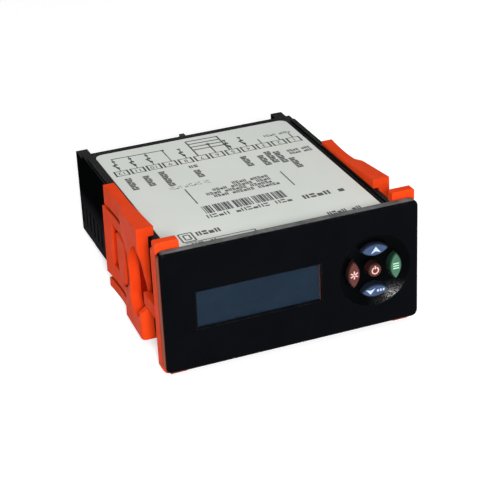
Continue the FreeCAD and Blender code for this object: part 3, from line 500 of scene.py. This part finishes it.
bpy.ops.object.join()
screw_head.name = "slotted_terminal_screws"
zinc, tree, shader = new_material("screw_zinc")
plated = spread(tree, noise(tree, scale=700.0, detail=6.0, rough=0.65), between=(0.38, 0.66))
feed(tree, tint(tree, plated, ZINC_BRIGHT, ZINC_DULL), shader["Base Color"])
feed(tree, spread(tree, plated, to=(0.24, 0.42)), shader["Roughness"])
shader["Metallic"].default_value = 1.0
feed(tree, relief(tree, noise(tree, scale=5200.0), strength=0.12, depth=0.01 * MM), shader["Normal"])
screw_head.data.materials.clear()
screw_head.data.materials.append(zinc)
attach(screw_head, "housing")
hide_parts("terminal_screws")

# Wiring label: matt polyester film with rounded corners, laid on the case top and rolled down.
# The film is off-white with a faint green cast, a little uneven and scuffed where it is handled.
FILM_WHITE = (0.700, 0.729, 0.686)
FILM_SHADE = (0.663, 0.692, 0.652)
FILM_SCUFF = (0.62, 0.63, 0.60)
film_white, tree, shader = new_material("label_film")
uneven = spread(tree, noise(tree, scale=45.0, detail=5.0), between=(0.32, 0.68))
paper = tint(tree, uneven, FILM_WHITE, FILM_SHADE)
scuff = spread(tree, noise(tree, scale=650.0, detail=6.0, rough=0.8), between=(0.62, 0.80), to=(0.0, 0.35))
feed(tree, tint(tree, scuff, paper, FILM_SCUFF), shader["Base Color"])
feed(tree, spread(tree, uneven, to=(0.48, 0.60)), shader["Roughness"])
tooth = noise(tree, scale=2600.0, detail=4.0)
feed(tree, relief(tree, tooth, strength=0.12, depth=0.02 * MM), shader["Normal"])
shader["Specular IOR Level"].default_value = 0.05
dress(film_white, "top_label")

# Label print: one pass of black ink with a wiring diagram, ruled lines, bars and rows of plain marks.
# The ink lies on the film as a coat too thin to feel, and it is thinner where the screen ran dry.
# Places and widths of the print are in millimetres, across the label and back from the panel.
INK = 0.03 * MM
INK_BLACK = (0.016, 0.017, 0.018)
INK_DRY = (0.075, 0.08, 0.075)
LABEL_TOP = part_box("top_label")[1].z
FINE_W = 0.28
LINE_W = 0.34
RULE_W = 0.40
HEAVY_W = 0.45
SIDE_W = 0.50
RUNG_W = 0.55
BLADE_W = 0.60
bpy.ops.object.select_all(action="DESELECT")
bpy.ops.mesh.primitive_plane_add(size=1.0, location=(0, 0, LABEL_TOP))
print_ink = bpy.context.object
print_ink.name = "label_print"
bpy.ops.object.mode_set(mode="EDIT")
bpy.ops.mesh.delete(type="VERT")


def mark(x0, x1, y0, y1):
    """Printed rectangle between two corners."""
    middle = ((x0 + x1) / 2 * MM, (y0 + y1) / 2 * MM, LABEL_TOP)
    bpy.ops.mesh.primitive_plane_add(size=1.0, location=middle)
    bpy.ops.transform.resize(value=(abs(x1 - x0) * MM, abs(y1 - y0) * MM, 1.0), center_override=middle)


def dot(x, y, half_x, half_y):
    """Printed point where lines meet or end."""
    mark(x - half_x, x + half_x, y - half_y, y + half_y)


def line(x0, y0, x1, y1, width=LINE_W):
    """Printed stroke between two points."""
    length = math.hypot(x1 - x0, y1 - y0)
    middle = ((x0 + x1) / 2 * MM, (y0 + y1) / 2 * MM, LABEL_TOP)
    bpy.ops.mesh.primitive_plane_add(size=1.0, location=middle)
    bpy.ops.transform.resize(value=(length * MM, width * MM, 1.0), center_override=middle)
    bpy.ops.transform.rotate(value=-math.atan2(y1 - y0, x1 - x0), orient_axis="Z", center_override=middle)


def frame_lines(x0, x1, y0, y1, width):
    """Four strokes round a rectangle."""
    line(x0, y0, x1, y0, width)
    line(x0, y1, x1, y1, width)
    line(x0, y0, x0, y1, width)
    line(x1, y0, x1, y1, width)


MARK_FILL = 0.80
MARK_BAR = 0.40
BLOCK_RISE = 1.8
GAP_EVERY = 7
GAP_AT = 4


def mark_row(x, y, length, height, step, weight=1.0, deep=False):
    """Row of plain marks across the label, or back along it: uprights, level bars and a block by turns."""
    def stroke(start, stop, low, high):
        if deep:
            mark(x + low, x + high, y + start, y + stop)
        else:
            mark(x + start, x + stop, y + low, y + high)

    width = MARK_FILL * step
    bar = MARK_BAR * weight
    for i in range(int(length / step)):
        left = i * step
        right = left + width
        if not deep and i % GAP_EVERY == GAP_AT:
            continue
        if i % 3 == 0:
            stroke(left, left + bar * width, 0.0, height)
            stroke(right - bar * width, right, 0.0, height)
        elif i % 3 == 1:
            stroke(left, right, 0.0, bar * height)
            stroke(left, right, (1.0 - bar) * height, height)
        else:
            stroke(left, right, 0.0, BLOCK_RISE * bar * height)


BLADE_LEAN = 0.9


def contact(x, y0, y1):
    """Switch contact: an open blade between two points on a line, with a third at its end."""
    third = (y1 - y0) / 3
    line(x, y0, x, y0 + third)
    line(x, y0 + third, x - BLADE_LEAN, y0 + 2 * third, BLADE_W)
    line(x, y0 + 2 * third, x, y1)
    dot(x, y0 + third, 0.45, 0.6)
    dot(x, y0 + 2 * third, 0.55, 0.5)
    dot(x, y1, 0.5, 0.4)


BOX_X0 = -28.1
BOX_STEP = 5.13
BOX_HALF = 2.0
BOX_Y0, BOX_Y1 = 60.4, 63.8
SIDE_OVERRUN = 0.3
for way in range(WAYS):
    middle_x = BOX_X0 + way * BOX_STEP
    frame_lines(middle_x - BOX_HALF, middle_x + BOX_HALF, BOX_Y0, BOX_Y1, FINE_W)
    for side_x in (middle_x - BOX_HALF, middle_x + BOX_HALF):
        line(side_x, BOX_Y0 - SIDE_OVERRUN, side_x, BOX_Y1 + SIDE_OVERRUN, SIDE_W)

BRIDGED_X = (-27.9, -22.6, -17.3)
SINGLE_X = (-6.7, 8.3, 13.3)
CONTACT_Y = 71.5
BRIDGE_X0, BRIDGE_X1 = -28.0, -11.4
BRIDGE_Y0, BRIDGE_Y1 = 73.6, 73.0
COMMON_X = -11.6
for middle_x in BRIDGED_X + SINGLE_X:
    contact(middle_x, BOX_Y1, CONTACT_Y)
for middle_x in BRIDGED_X:
    line(middle_x, CONTACT_Y, middle_x, BRIDGE_Y0)
line(BRIDGE_X0, BRIDGE_Y0, BRIDGE_X1, BRIDGE_Y1, HEAVY_W)
line(COMMON_X, BOX_Y1, COMMON_X, BRIDGE_Y1)
dot(COMMON_X + 0.05, BRIDGE_Y1 - 0.1, 0.45, 0.4)

LADDER_SIDES = (-2.9, 7.5)
LADDER_RUNGS = (76.0, 73.6, 71.2, 68.8)
RUNG_SLOPE = 0.4
TAP_X, TAP_Y = 2.9, 71.0
SENSOR_X = (18.2, 24.3, 28.7)
SENSOR_Y = 67.4
for rung_y in LADDER_RUNGS:
    line(LADDER_SIDES[0] + 0.1, rung_y, LADDER_SIDES[1] + 0.1, rung_y - RUNG_SLOPE, RUNG_W)
for side_x in LADDER_SIDES:
    line(side_x, BOX_Y1, side_x, LADDER_RUNGS[0], SIDE_W)
line(TAP_X, BOX_Y1, TAP_X, TAP_Y, HEAVY_W)
dot(TAP_X, TAP_Y + 0.2, 0.5, 0.6)
for lead_x in SENSOR_X:
    line(lead_x, BOX_Y1, lead_x, SENSOR_Y, RULE_W)

CAPTION_H = 2.0
CAPTION_STEP = 1.15
CAPTION_WEIGHT = 1.12
CAPTIONS = (  # x, y0, y1
    (-28.8, 48.7, 58.8), (-23.4, 49.2, 58.2), (-18.2, 46.5, 58.4), (-8.2, 48.6, 55.0), (8.0, 49.3, 57.7),
    (13.0, 47.6, 56.3), (15.8, 48.3, 58.2), (18.4, 47.1, 57.4), (20.9, 41.7, 50.1),
)
for x, y0, y1 in CAPTIONS:
    mark_row(x, y0, y1 - y0, CAPTION_H, CAPTION_STEP, CAPTION_WEIGHT, deep=True)

MARK_ROWS = (  # x, y, length, height, step, weight
    (20.8, 68.0, 9.8, 1.4, 1.00, 0.75),
    (22.8, 54.0, 7.8, 1.5, 0.95, 1.00),
    (22.8, 51.9, 7.8, 1.5, 0.95, 1.00),
    (-8.4, 56.2, 3.2, 1.8, 1.50, 1.00),
    (-18.8, 43.9, 13.2, 1.8, 0.90, 0.40),
    (-8.9, 33.4, 20.7, 1.7, 1.15, 1.00),
    (-10.5, 35.5, 22.7, 1.7, 1.15, 1.00),
    (-7.8, 37.6, 19.0, 1.7, 1.15, 1.00),
    (-0.9, 39.7, 12.2, 1.7, 1.15, 1.00),
    (-15.6, 21.1, 26.8, 2.2, 1.75, 0.75),
    (13.8, 20.5, 13.6, 2.6, 2.20, 1.00),
    (-22.2, 12.0, 7.6, 2.5, 1.85, 1.00),
    (-25.4, 6.0, 11.4, 2.4, 1.90, 1.00),
    (15.6, 7.4, 11.4, 2.2, 1.50, 1.00),
)
for row in MARK_ROWS:
    mark_row(*row)

BARS = 46
BAR_LEFT_OUT = 3
BAR_X0, BAR_X1 = -15.0, 10.3
BAR_Y0, BAR_Y1 = 24.1, 29.2
THIN_BAR = 0.22
BAR_GROWS = 0.075
for i in range(BARS):
    start = BAR_X0 + i * (BAR_X1 - BAR_X0) / BARS
    if i * 5 % 11 != BAR_LEFT_OUT:
        mark(start, start + THIN_BAR + BAR_GROWS * (i * 7 % 5), BAR_Y0, BAR_Y1)

RULES = (  # x0, y0, x1, y1, width
    (-15.0, 31.6, -15.0, 42.5, RULE_W),
    (15.0, 30.7, 15.0, 41.7, RULE_W),
    (-26.8, 9.0, -6.5, 9.0, LINE_W),
    (-6.5, 7.4, -6.5, 9.0, HEAVY_W),
)
for rule in RULES:
    line(*rule)
SQUARES = (  # x0, x1, y0, y1
    (-27.1, -23.3, 9.7, 14.9),
    (-26.0, -24.3, 10.9, 13.8),
)
for square in SQUARES:
    frame_lines(*square, HEAVY_W)
leave_edit()
settle(print_ink)

NUMBER_SIZE = 2.565 * MM
numbers = []
for way in range(WAYS):
    bpy.ops.object.select_all(action="DESELECT")
    bpy.ops.object.text_add(location=(0, 0, 0))
    number = bpy.context.object
    number.data.body = str(WAYS - way)
    number.data.size = NUMBER_SIZE
    number.data.align_x = "CENTER"
    number.data.align_y = "CENTER"
    only(number)
    bpy.ops.object.convert(target="MESH")
    number = bpy.context.object
    number.location = ((BOX_X0 + way * BOX_STEP) * MM, (BOX_Y0 + BOX_Y1) / 2 * MM, LABEL_TOP)
    number.rotation_euler = (0, 0, math.pi)
    settle(number)
    numbers.append(number)
only(print_ink, *numbers)
bpy.ops.object.join()
finish_modifier(print_ink, "SOLIDIFY", thickness=INK, offset=1.0)
ink, tree, shader = new_material("label_ink")
dry = spread(tree, noise(tree, scale=1100.0, detail=5.0, rough=0.7), between=(0.40, 0.75))
feed(tree, tint(tree, dry, INK_BLACK, INK_DRY), shader["Base Color"])
feed(tree, spread(tree, dry, to=(0.5, 0.7)), shader["Roughness"])
print_ink.data.materials.clear()
print_ink.data.materials.append(ink)
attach(print_ink, "housing")

# Front bezel: a glossy black polycarbonate moulding, plugged into the case by its collar.
# The front is polished; the grained key dish shines at its lower right, where a thumb rubs the peaks.
# Its top edge is scuffed grey; its top face and bottom edge carry a painted grey and a painted brown
# reflection, and its flanks a painted orange reflection of the clips.
DISH_X, DISH_Z = 24.8 * MM, -0.55 * MM
DISH_R = 11.2 * MM
UPPER_EDGE = (15.5 * MM, 18.2 * MM)
LOWER_EDGE = (-17.4 * MM, -17.9 * MM)
GLOSS_BLACK = (0.0022, 0.0026, 0.0035)
GLOSS_DEEP = (0.0015, 0.0018, 0.0025)
DISH_BLACK = (0.0004, 0.0006, 0.0008)
BEZEL_WORN = (0.055, 0.056, 0.058)
# Painted reflections: the clips' orange on the flanks, grey on the top face, brown on the bottom edge.
FLANK_REFLECTION = (0.33, 0.070, 0.030)
RIM_REFLECTION = (0.15, 0.155, 0.152)
SILL_REFLECTION = (0.030, 0.024, 0.023)
SCUFF_GREY = (0.22, 0.22, 0.21)
COVERING = 0.8
bezel, tree, shader = new_material("bezel_gloss")
spot = parts_of(tree, place(tree))
off_x = calc(tree, "SUBTRACT", spot["X"], DISH_X)
off_z = calc(tree, "SUBTRACT", spot["Z"], DISH_Z)
ring = calc(tree, "SQRT", calc(tree, "ADD", times(tree, off_x, off_x), times(tree, off_z, off_z)))
in_dish = spread(tree, ring, between=(DISH_R - 0.2 * MM, DISH_R + 0.1 * MM), to=(1.0, 0.0))
edge = use(tree, rubbed_edge, Radius=0.25 * MM, Strength=5.0)
skin = use(tree, moulded_grain, Grain=2600.0, Patch=70.0)
flank = use(tree, side_facing)["Mask"]
facing_z = normal_part(tree, "Z")
high = spread(tree, spot["Z"], between=UPPER_EDGE)
scuffs = spread(tree, noise(tree, scale=1500.0, detail=6.0, rough=0.8), between=(0.60, 0.74))
scuffed = times(tree, scuffs, high, spread(tree, facing_z, between=(0.10, 0.55)))
streaks = spread(tree, noise(tree, scale=240.0, detail=5.0, rough=0.6), between=(0.30, 0.60), to=(0.45, 1.0))
# Painted reflection: streaky grey on the bezel's upward top face.
top_reflection = times(tree, spread(tree, facing_z, between=(0.80, 0.98)), streaks, high)
bottom = spread(tree, spot["Z"], between=LOWER_EDGE)
# Painted reflection: brown on the downward-facing bottom edge.
bottom_reflection = times(tree, spread(tree, facing_z, between=(-0.20, -0.55)), bottom)
black = tint(tree, skin["Tone"], GLOSS_BLACK, GLOSS_DEEP)
black = tint(tree, times(tree, in_dish, COVERING), black, DISH_BLACK)
black = tint(tree, edge["Wear"], black, BEZEL_WORN)
# Painted reflection of the clips' orange on both flanks.
black = tint(tree, times(tree, flank, COVERING), black, FLANK_REFLECTION)
black = tint(tree, top_reflection, black, RIM_REFLECTION)
black = tint(tree, bottom_reflection, black, SILL_REFLECTION)
feed(tree, tint(tree, times(tree, scuffed, COVERING), black, SCUFF_GREY), shader["Base Color"])
polish = spread(tree, skin["Tone"], to=(0.20, 0.27))
feed(tree, calc(tree, "ADD", polish, times(tree, in_dish, 0.10)), shader["Roughness"])
smooth = relief(tree, skin["Height"], strength=0.05, depth=0.02 * MM, normal=edge["Normal"])
peaks = times(tree, noise(tree, scale=2600.0, detail=2.0), in_dish)
feed(tree, relief(tree, peaks, strength=0.5, depth=0.06 * MM, normal=smooth), shader["Normal"])
lower = spread(tree, facing_z, between=(0.17, 0.31))
right_hand = spread(tree, normal_part(tree, "X"), between=(0.08, -0.17))
polished_peaks = spread(tree, pattern(tree, "Voronoi", Scale=4200.0).outputs["Color"], between=(0.30, 0.70))
feed(tree, times(tree, in_dish, lower, right_hand, polished_peaks), shader["Coat Weight"])
shader["Coat Roughness"].default_value = 0.20
shader["Specular IOR Level"].default_value = 0.012
dress(bezel, "front_bezel")

# Display lens: a smoked blue acrylic plate held in the rebate behind the window.
# It is polished, with faint wiping marks, and dark enough that the sleeping readout hardly shows.
SMOKE_BLUE = (0.0105, 0.0215, 0.038)
WIPED_BLUE = (0.0140, 0.0280, 0.049)
lens, tree, shader = new_material("lens_smoked")
wiped = spread(tree, noise(tree, scale=130.0, detail=5.0, rough=0.6), between=(0.35, 0.70))
feed(tree, tint(tree, wiped, SMOKE_BLUE, WIPED_BLUE), shader["Base Color"])
feed(tree, spread(tree, wiped, to=(0.07, 0.16)), shader["Roughness"])
shader["Alpha"].default_value = 0.72
shader["Specular IOR Level"].default_value = 0.045
dress(lens, "display_lens")

# Display module: a two-line readout, a dark glass face in a carrier soldered to the display board.
# Its rows of cells show as a very faint grid in the unlit glass.
GLASS_BLUE = (0.045, 0.068, 0.105)
CELL_BLUE = (0.036, 0.056, 0.088)
CLOUD_BLUE = (0.055, 0.080, 0.118)
readout, tree, shader = new_material("readout_glass")
upright = tree.nodes.new("ShaderNodeMapping")
feed(tree, place(tree), upright.inputs["Vector"])
upright.inputs["Rotation"].default_value = (math.radians(90), 0, 0)
cells = pattern(tree, "Brick", upright.outputs[0], Scale=210.0, Mortar_Size=0.05, Brick_Width=0.5,
                Row_Height=0.9)
cells.offset = 0.0
glass_tone = tint(tree, cells.outputs["Fac"], GLASS_BLUE, CELL_BLUE)
clouds = spread(tree, noise(tree, scale=60.0), between=(0.35, 0.7))
feed(tree, tint(tree, clouds, glass_tone, CLOUD_BLUE), shader["Base Color"])
feed(tree, spread(tree, noise(tree, scale=400.0), between=(0.3, 0.7), to=(0.18, 0.30)), shader["Roughness"])
dress(readout, "display_module")

# Keys: five translucent coloured mouldings that stand in the dish and slide in the bezel.
# Their faces are brighter than their sides, which sit in the shade of the dish.
FACE_TILT = (-0.97, -0.75)


def key_plastic(name, face, side):
    """Key moulding with a bright face in two tones, sides painted darker as shade, and pale rubbed edges."""
    material, tree, shader = new_material(name)
    facing = spread(tree, normal_part(tree, "Y"), between=FACE_TILT, to=(1.0, 0.0))
    skin = use(tree, moulded_grain, Grain=3200.0, Patch=260.0)
    edge = use(tree, rubbed_edge, Radius=0.15 * MM, Strength=2.0)
    shaded = tuple(0.82 * c for c in face)
    pale = tuple(0.5 * c + 0.2 for c in face)
    # Painted shade: the sides take the darker side colour.
    body = tint(tree, facing, side, tint(tree, skin["Tone"], face, shaded))
    feed(tree, tint(tree, edge["Wear"], body, pale), shader["Base Color"])
    feed(tree, spread(tree, skin["Tone"], to=(0.34, 0.46)), shader["Roughness"])
    surface = relief(tree, skin["Height"], strength=0.15, depth=0.02 * MM, normal=edge["Normal"])
    feed(tree, surface, shader["Normal"])
    shader["Specular IOR Level"].default_value = 0.1
    return material


key_blue = key_plastic("key_blue", face=(0.043, 0.074, 0.152), side=(0.010, 0.016, 0.032))
key_green = key_plastic("key_green", face=(0.058, 0.150, 0.095), side=(0.010, 0.032, 0.018))
key_red = key_plastic("key_red", face=(0.108, 0.032, 0.027), side=(0.030, 0.010, 0.009))
dress(key_blue, "button_up", "button_down")
dress(key_green, "button_set")
dress(key_red, "button_power", "button_reset")

# Key signs: pad-printed pale ink, one plain sign on each key face.
# Up and down are solid arrowheads, down with three dots; the others are a flake, bars and an open ring.
KEY_RING = 6.5 * MM
KEY_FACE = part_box("button_up")[0].y
SIGN_T = 0.04 * MM


def sign_ink(name, colour):
    """Pale ink with the key's own colour showing through, thinner in patches."""
    material, tree, shader = new_material(name)
    thin = spread(tree, noise(tree, scale=1800.0, detail=4.0), between=(0.4, 0.7))
    feed(tree, tint(tree, thin, colour, tuple(0.8 * c for c in colour)), shader["Base Color"])
    feed(tree, spread(tree, thin, to=(0.40, 0.55)), shader["Roughness"])
    return material


blue_ink = sign_ink("sign_ink_blue", (0.48, 0.58, 0.74))
green_ink = sign_ink("sign_ink_green", (0.40, 0.70, 0.50))
red_ink = sign_ink("sign_ink_red", (0.76, 0.46, 0.42))


def sign_plate(x, z, width, height, turn=0.0):
    """Flat plate on a key face, standing upright, turned about its middle."""
    bpy.ops.object.select_all(action="DESELECT")
    bpy.ops.mesh.primitive_plane_add(size=1.0, location=(x, KEY_FACE, z), rotation=(math.pi / 2, turn, 0))
    plate = bpy.context.object
    plate.scale = (width, height, 1.0)
    settle(plate)
    return plate


def finish_sign(name, body, ink_coat, *plates):
    """Joins the plates of one sign, gives it the ink's thickness and lets it ride on its key."""
    only(*plates)
    if len(plates) > 1:
        bpy.ops.object.join()
    sign = plates[0]
    sign.name = name
    finish_modifier(sign, "SOLIDIFY", thickness=SIGN_T, offset=1.0)
    sign.data.materials.append(ink_coat)
    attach(sign, body)


ARROW_W = 3.0 * MM
SHOULDER = 0.5
NOTCH = 0.28


def arrowhead(x, z, height, direction):
    """Solid arrowhead with a notched base, from a plate whose top edge is drawn together."""
    plate = sign_plate(x, z, ARROW_W, height)
    pick(plate, lambda m: True)
    bpy.ops.mesh.subdivide(number_cuts=1)
    leave_edit()
    for point in plate.data.vertices:
        rise = direction * (point.co.z - z)
        across = point.co.x - x
        if rise > 0.1 * height:
            point.co.x = x
        elif rise > -0.1 * height:
            point.co.x = x + across * SHOULDER
        elif abs(across) < 0.1 * ARROW_W:
            point.co.z += direction * height * NOTCH
    clean(plate)
    return plate


UP_H, UP_OFFSET = 1.9 * MM, 0.2 * MM
DOWN_H, DOWN_OFFSET = 1.7 * MM, -1.5 * MM
DOT_W, DOT_H = 0.55 * MM, 0.7 * MM
DOTS_X = (0.75 * MM, 1.65 * MM, 2.55 * MM)
FLAKE_W, FLAKE_L = 0.38 * MM, 2.5 * MM
FLAKE_TURNS = (0, 60, 120)
SIGN_BAR_L, SIGN_BAR_W = 1.9 * MM, 0.36 * MM
SIGN_BAR_RISES = (-0.75 * MM, 0.0, 0.75 * MM)
up_arrow = arrowhead(DISH_X + UP_OFFSET, DISH_Z + KEY_RING, UP_H, 1)
finish_sign("sign_up", "key_up", blue_ink, up_arrow)
down_arrow = arrowhead(DISH_X + DOWN_OFFSET, DISH_Z - KEY_RING, DOWN_H, -1)
dots = [sign_plate(DISH_X + across, DISH_Z - KEY_RING, DOT_W, DOT_H) for across in DOTS_X]
finish_sign("sign_down", "key_down", blue_ink, down_arrow, *dots)
flake = [sign_plate(DISH_X - KEY_RING, DISH_Z, FLAKE_W, FLAKE_L, math.radians(turn)) for turn in FLAKE_TURNS]
finish_sign("sign_power", "key_power", red_ink, *flake)
bars = [sign_plate(DISH_X + KEY_RING, DISH_Z + rise, SIGN_BAR_L, SIGN_BAR_W) for rise in SIGN_BAR_RISES]
finish_sign("sign_set", "key_set", green_ink, *bars)

RING_R = 1.15 * MM
RING_W = 0.36 * MM
RING_GAP = 0.45 * MM
GAP_FROM = 0.6 * MM
STEM_L = 1.0 * MM
STEM_RISE = 0.95 * MM
bpy.ops.object.select_all(action="DESELECT")
bpy.ops.mesh.primitive_circle_add(vertices=32, radius=RING_R, fill_type="NGON",
                                  location=(DISH_X, KEY_FACE, DISH_Z), rotation=(math.pi / 2, 0, 0))
open_ring = bpy.context.object
settle(open_ring)
pick(open_ring, lambda m: True)
bpy.ops.mesh.inset(thickness=RING_W)
bpy.ops.mesh.delete(type="FACE")
leave_edit()
pick(open_ring, lambda m: m.z > DISH_Z + GAP_FROM and abs(m.x - DISH_X) < RING_GAP)
bpy.ops.mesh.delete(type="FACE")
leave_edit()
ring_stem = sign_plate(DISH_X, DISH_Z + STEM_RISE, RING_W, STEM_L)
finish_sign("sign_reset", "key_reset", red_ink, open_ring, ring_stem)

# Switch plungers and switch bodies: black nylon pins that stand in dark grey switches under the keys.
# Each key bears on its pin, and the switch bodies are soldered flat to the display board.
plunger_black = moulded("plunger_black", colour=(0.030, 0.030, 0.032), deep=(0.020, 0.020, 0.021),
                        worn=(0.10, 0.10, 0.10), rough=0.40, radius=0.1 * MM)
switch_grey = moulded("switch_grey", colour=(0.10, 0.10, 0.105), deep=(0.075, 0.075, 0.08),
                      worn=(0.2, 0.2, 0.2), rough=0.5, radius=0.15 * MM)
dress(plunger_black, "plunger_up", "plunger_down", "plunger_power", "plunger_set", "plunger_reset")
dress(switch_grey, "tact_switches")

# Mounting clips: two springy orange mouldings that slide along the case and press on the panel.
# They are a satin polyamide, rubbed paler along edges and grips, with shade painted darker into the corners.
clip_orange = moulded("clip_orange", colour=(0.800, 0.060, 0.010), deep=(0.720, 0.049, 0.008),
                      worn=(0.86, 0.15, 0.05), rough=0.42, grain=2800.0, bite=0.2, radius=0.35 * MM, wear=2.0,
                      dust=0.0, gloss=0.010, corner_shade=(0.26, 0.012, 0.003))
dress(clip_orange, "clip_left", "clip_right")

# Clip backs: a thin web of the same moulding that closes the bowed window of each clip towards the case.
# It lies in the running gap beside the case; its colour is painted shade, the clip's orange darkened so that
# it shows as a dark red crescent.
CASE_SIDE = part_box("case")[1].x
BACK_GAP = 0.06 * MM
BACK_T = 0.20 * MM
BACK_Y0, BACK_Y1 = 16.4 * MM, 30.0 * MM
BACK_Z = 12.6 * MM
BACK_CORNER = 2.0 * MM
# Painted shade: the clip's orange darkened to deep red.
clip_shade = moulded("clip_shade", colour=(0.36, 0.010, 0.003), deep=(0.31, 0.008, 0.002),
                     worn=(0.45, 0.02, 0.006), rough=0.50, grain=2800.0, wear=1.0, dust=0.0, gloss=0.0)
for side, body in ((-1, "left_clip"), (1, "right_clip")):
    back_x = side * (CASE_SIDE + BACK_GAP + BACK_T / 2)
    bpy.ops.object.select_all(action="DESELECT")
    bpy.ops.mesh.primitive_cube_add(size=1.0, location=(back_x, (BACK_Y0 + BACK_Y1) / 2, 0))
    back = bpy.context.object
    back.dimensions = (BACK_T, BACK_Y1 - BACK_Y0, 2 * BACK_Z)
    settle(back)
    pick(back, lambda m: abs(abs(m.z) - BACK_Z) < NEAR and abs(m.x - back_x) < NEAR, "edges")
    bpy.ops.mesh.bevel(offset=BACK_CORNER, segments=6)
    leave_edit()
    back.name = body + "_back"
    back.data.materials.append(clip_shade)
    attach(back, body)

# Studio: a pale table, a flash by the camera, a soft light overhead, a low window and a white room.
# The table leans a little, because the part lies on the feet and the rear of its clips.
TABLE_SIZE = 8.0
TABLE_POINT = Vector((0.0, 5.0 * MM, -20.0 * MM))
TABLE_NORMAL = Vector((0.0, -0.0609, 0.9981))
TABLE_GAP = 0.05 * MM
TABLE_GREY = (0.70, 0.70, 0.70, 1.0)
TABLE_GLOW = 0.55
ROOM_FILL = 0.30
WHITE = (1.0, 1.0, 1.0, 1.0)


def seen_white(tree):
    """Mask of the rays that meet a white ground: from the camera, by way of gloss and through glass."""
    rays = tree.nodes.new("ShaderNodeLightPath").outputs
    seen = calc(tree, "MAXIMUM", rays["Is Camera Ray"], rays["Is Transmission Ray"])
    return calc(tree, "MAXIMUM", seen, rays["Is Glossy Ray"])


bpy.ops.object.select_all(action="DESELECT")
bpy.ops.mesh.primitive_plane_add(size=TABLE_SIZE)
table = bpy.context.object
table.name = "table"
table.rotation_euler = TABLE_NORMAL.to_track_quat("Z", "Y").to_euler()
table.location = TABLE_POINT - TABLE_NORMAL * TABLE_GAP
table_top, tree, shader = new_material("table_top")
shader["Base Color"].default_value = TABLE_GREY
shader["Roughness"].default_value = 0.9
shader["Specular IOR Level"].default_value = 0.0
shader["Emission Color"].default_value = WHITE
feed(tree, times(tree, seen_white(tree), TABLE_GLOW), shader["Emission Strength"])
table.data.materials.append(table_top)

room = bpy.data.worlds.new("white_room")
bpy.context.scene.world = room
room.use_nodes = True
tree = room.node_tree
background = tree.nodes["Background"].inputs
background["Color"].default_value = WHITE
feed(tree, spread(tree, seen_white(tree), to=(ROOM_FILL, 1.0)), background["Strength"])


def lamp(name, watts, width, height, spot, target):
    """Soft light that faces a point."""
    light = bpy.data.lights.new(name, "AREA")
    light.energy = watts
    light.shape = "RECTANGLE"
    light.size = width
    light.size_y = height
    holder = bpy.data.objects.new(name, light)
    bpy.context.scene.collection.objects.link(holder)
    holder.location = spot
    holder.rotation_euler = (Vector(target) - Vector(spot)).to_track_quat("-Z", "Y").to_euler()
    holder.visible_camera = False


lamp("overhead", watts=1.1, width=0.50, height=0.50, spot=(-0.05, -0.02, 0.58), target=(0.0, 0.03, 0.0))
lamp("flash", watts=2.4, width=0.10, height=0.10, spot=(-0.135, -0.437, 0.22), target=(0.0, 0.0, 0.0))
lamp("window", watts=0.70, width=0.20, height=0.05, spot=(-0.015, -0.49, 0.044), target=(0.02, 0.0, 0.0))

# Camera: a long lens above the part and to its left, at the photograph's viewing angle.
# Its place and axes were worked out from the straight edges of bezel, case and label.
EYE = (-0.14695, -0.35878, 0.20786)
AHEAD = Vector((0.3102, 0.8389, -0.4471))
UP = Vector((0.2016, 0.4016, 0.8934))
RIGHT = Vector((0.9290, -0.3673, -0.0445))
SENSOR_WIDTH = 36.0
FOCAL_LENGTH = 118.6
camera = bpy.data.objects.new("camera", bpy.data.cameras.new("camera"))
bpy.context.scene.collection.objects.link(camera)
camera.data.sensor_width = SENSOR_WIDTH
camera.data.lens = FOCAL_LENGTH
camera.matrix_world = Matrix.Translation(EYE) @ Matrix((RIGHT, UP, -AHEAD)).transposed().to_4x4()
bpy.context.scene.camera = camera
bpy.context.scene.view_settings.view_transform = "Standard"
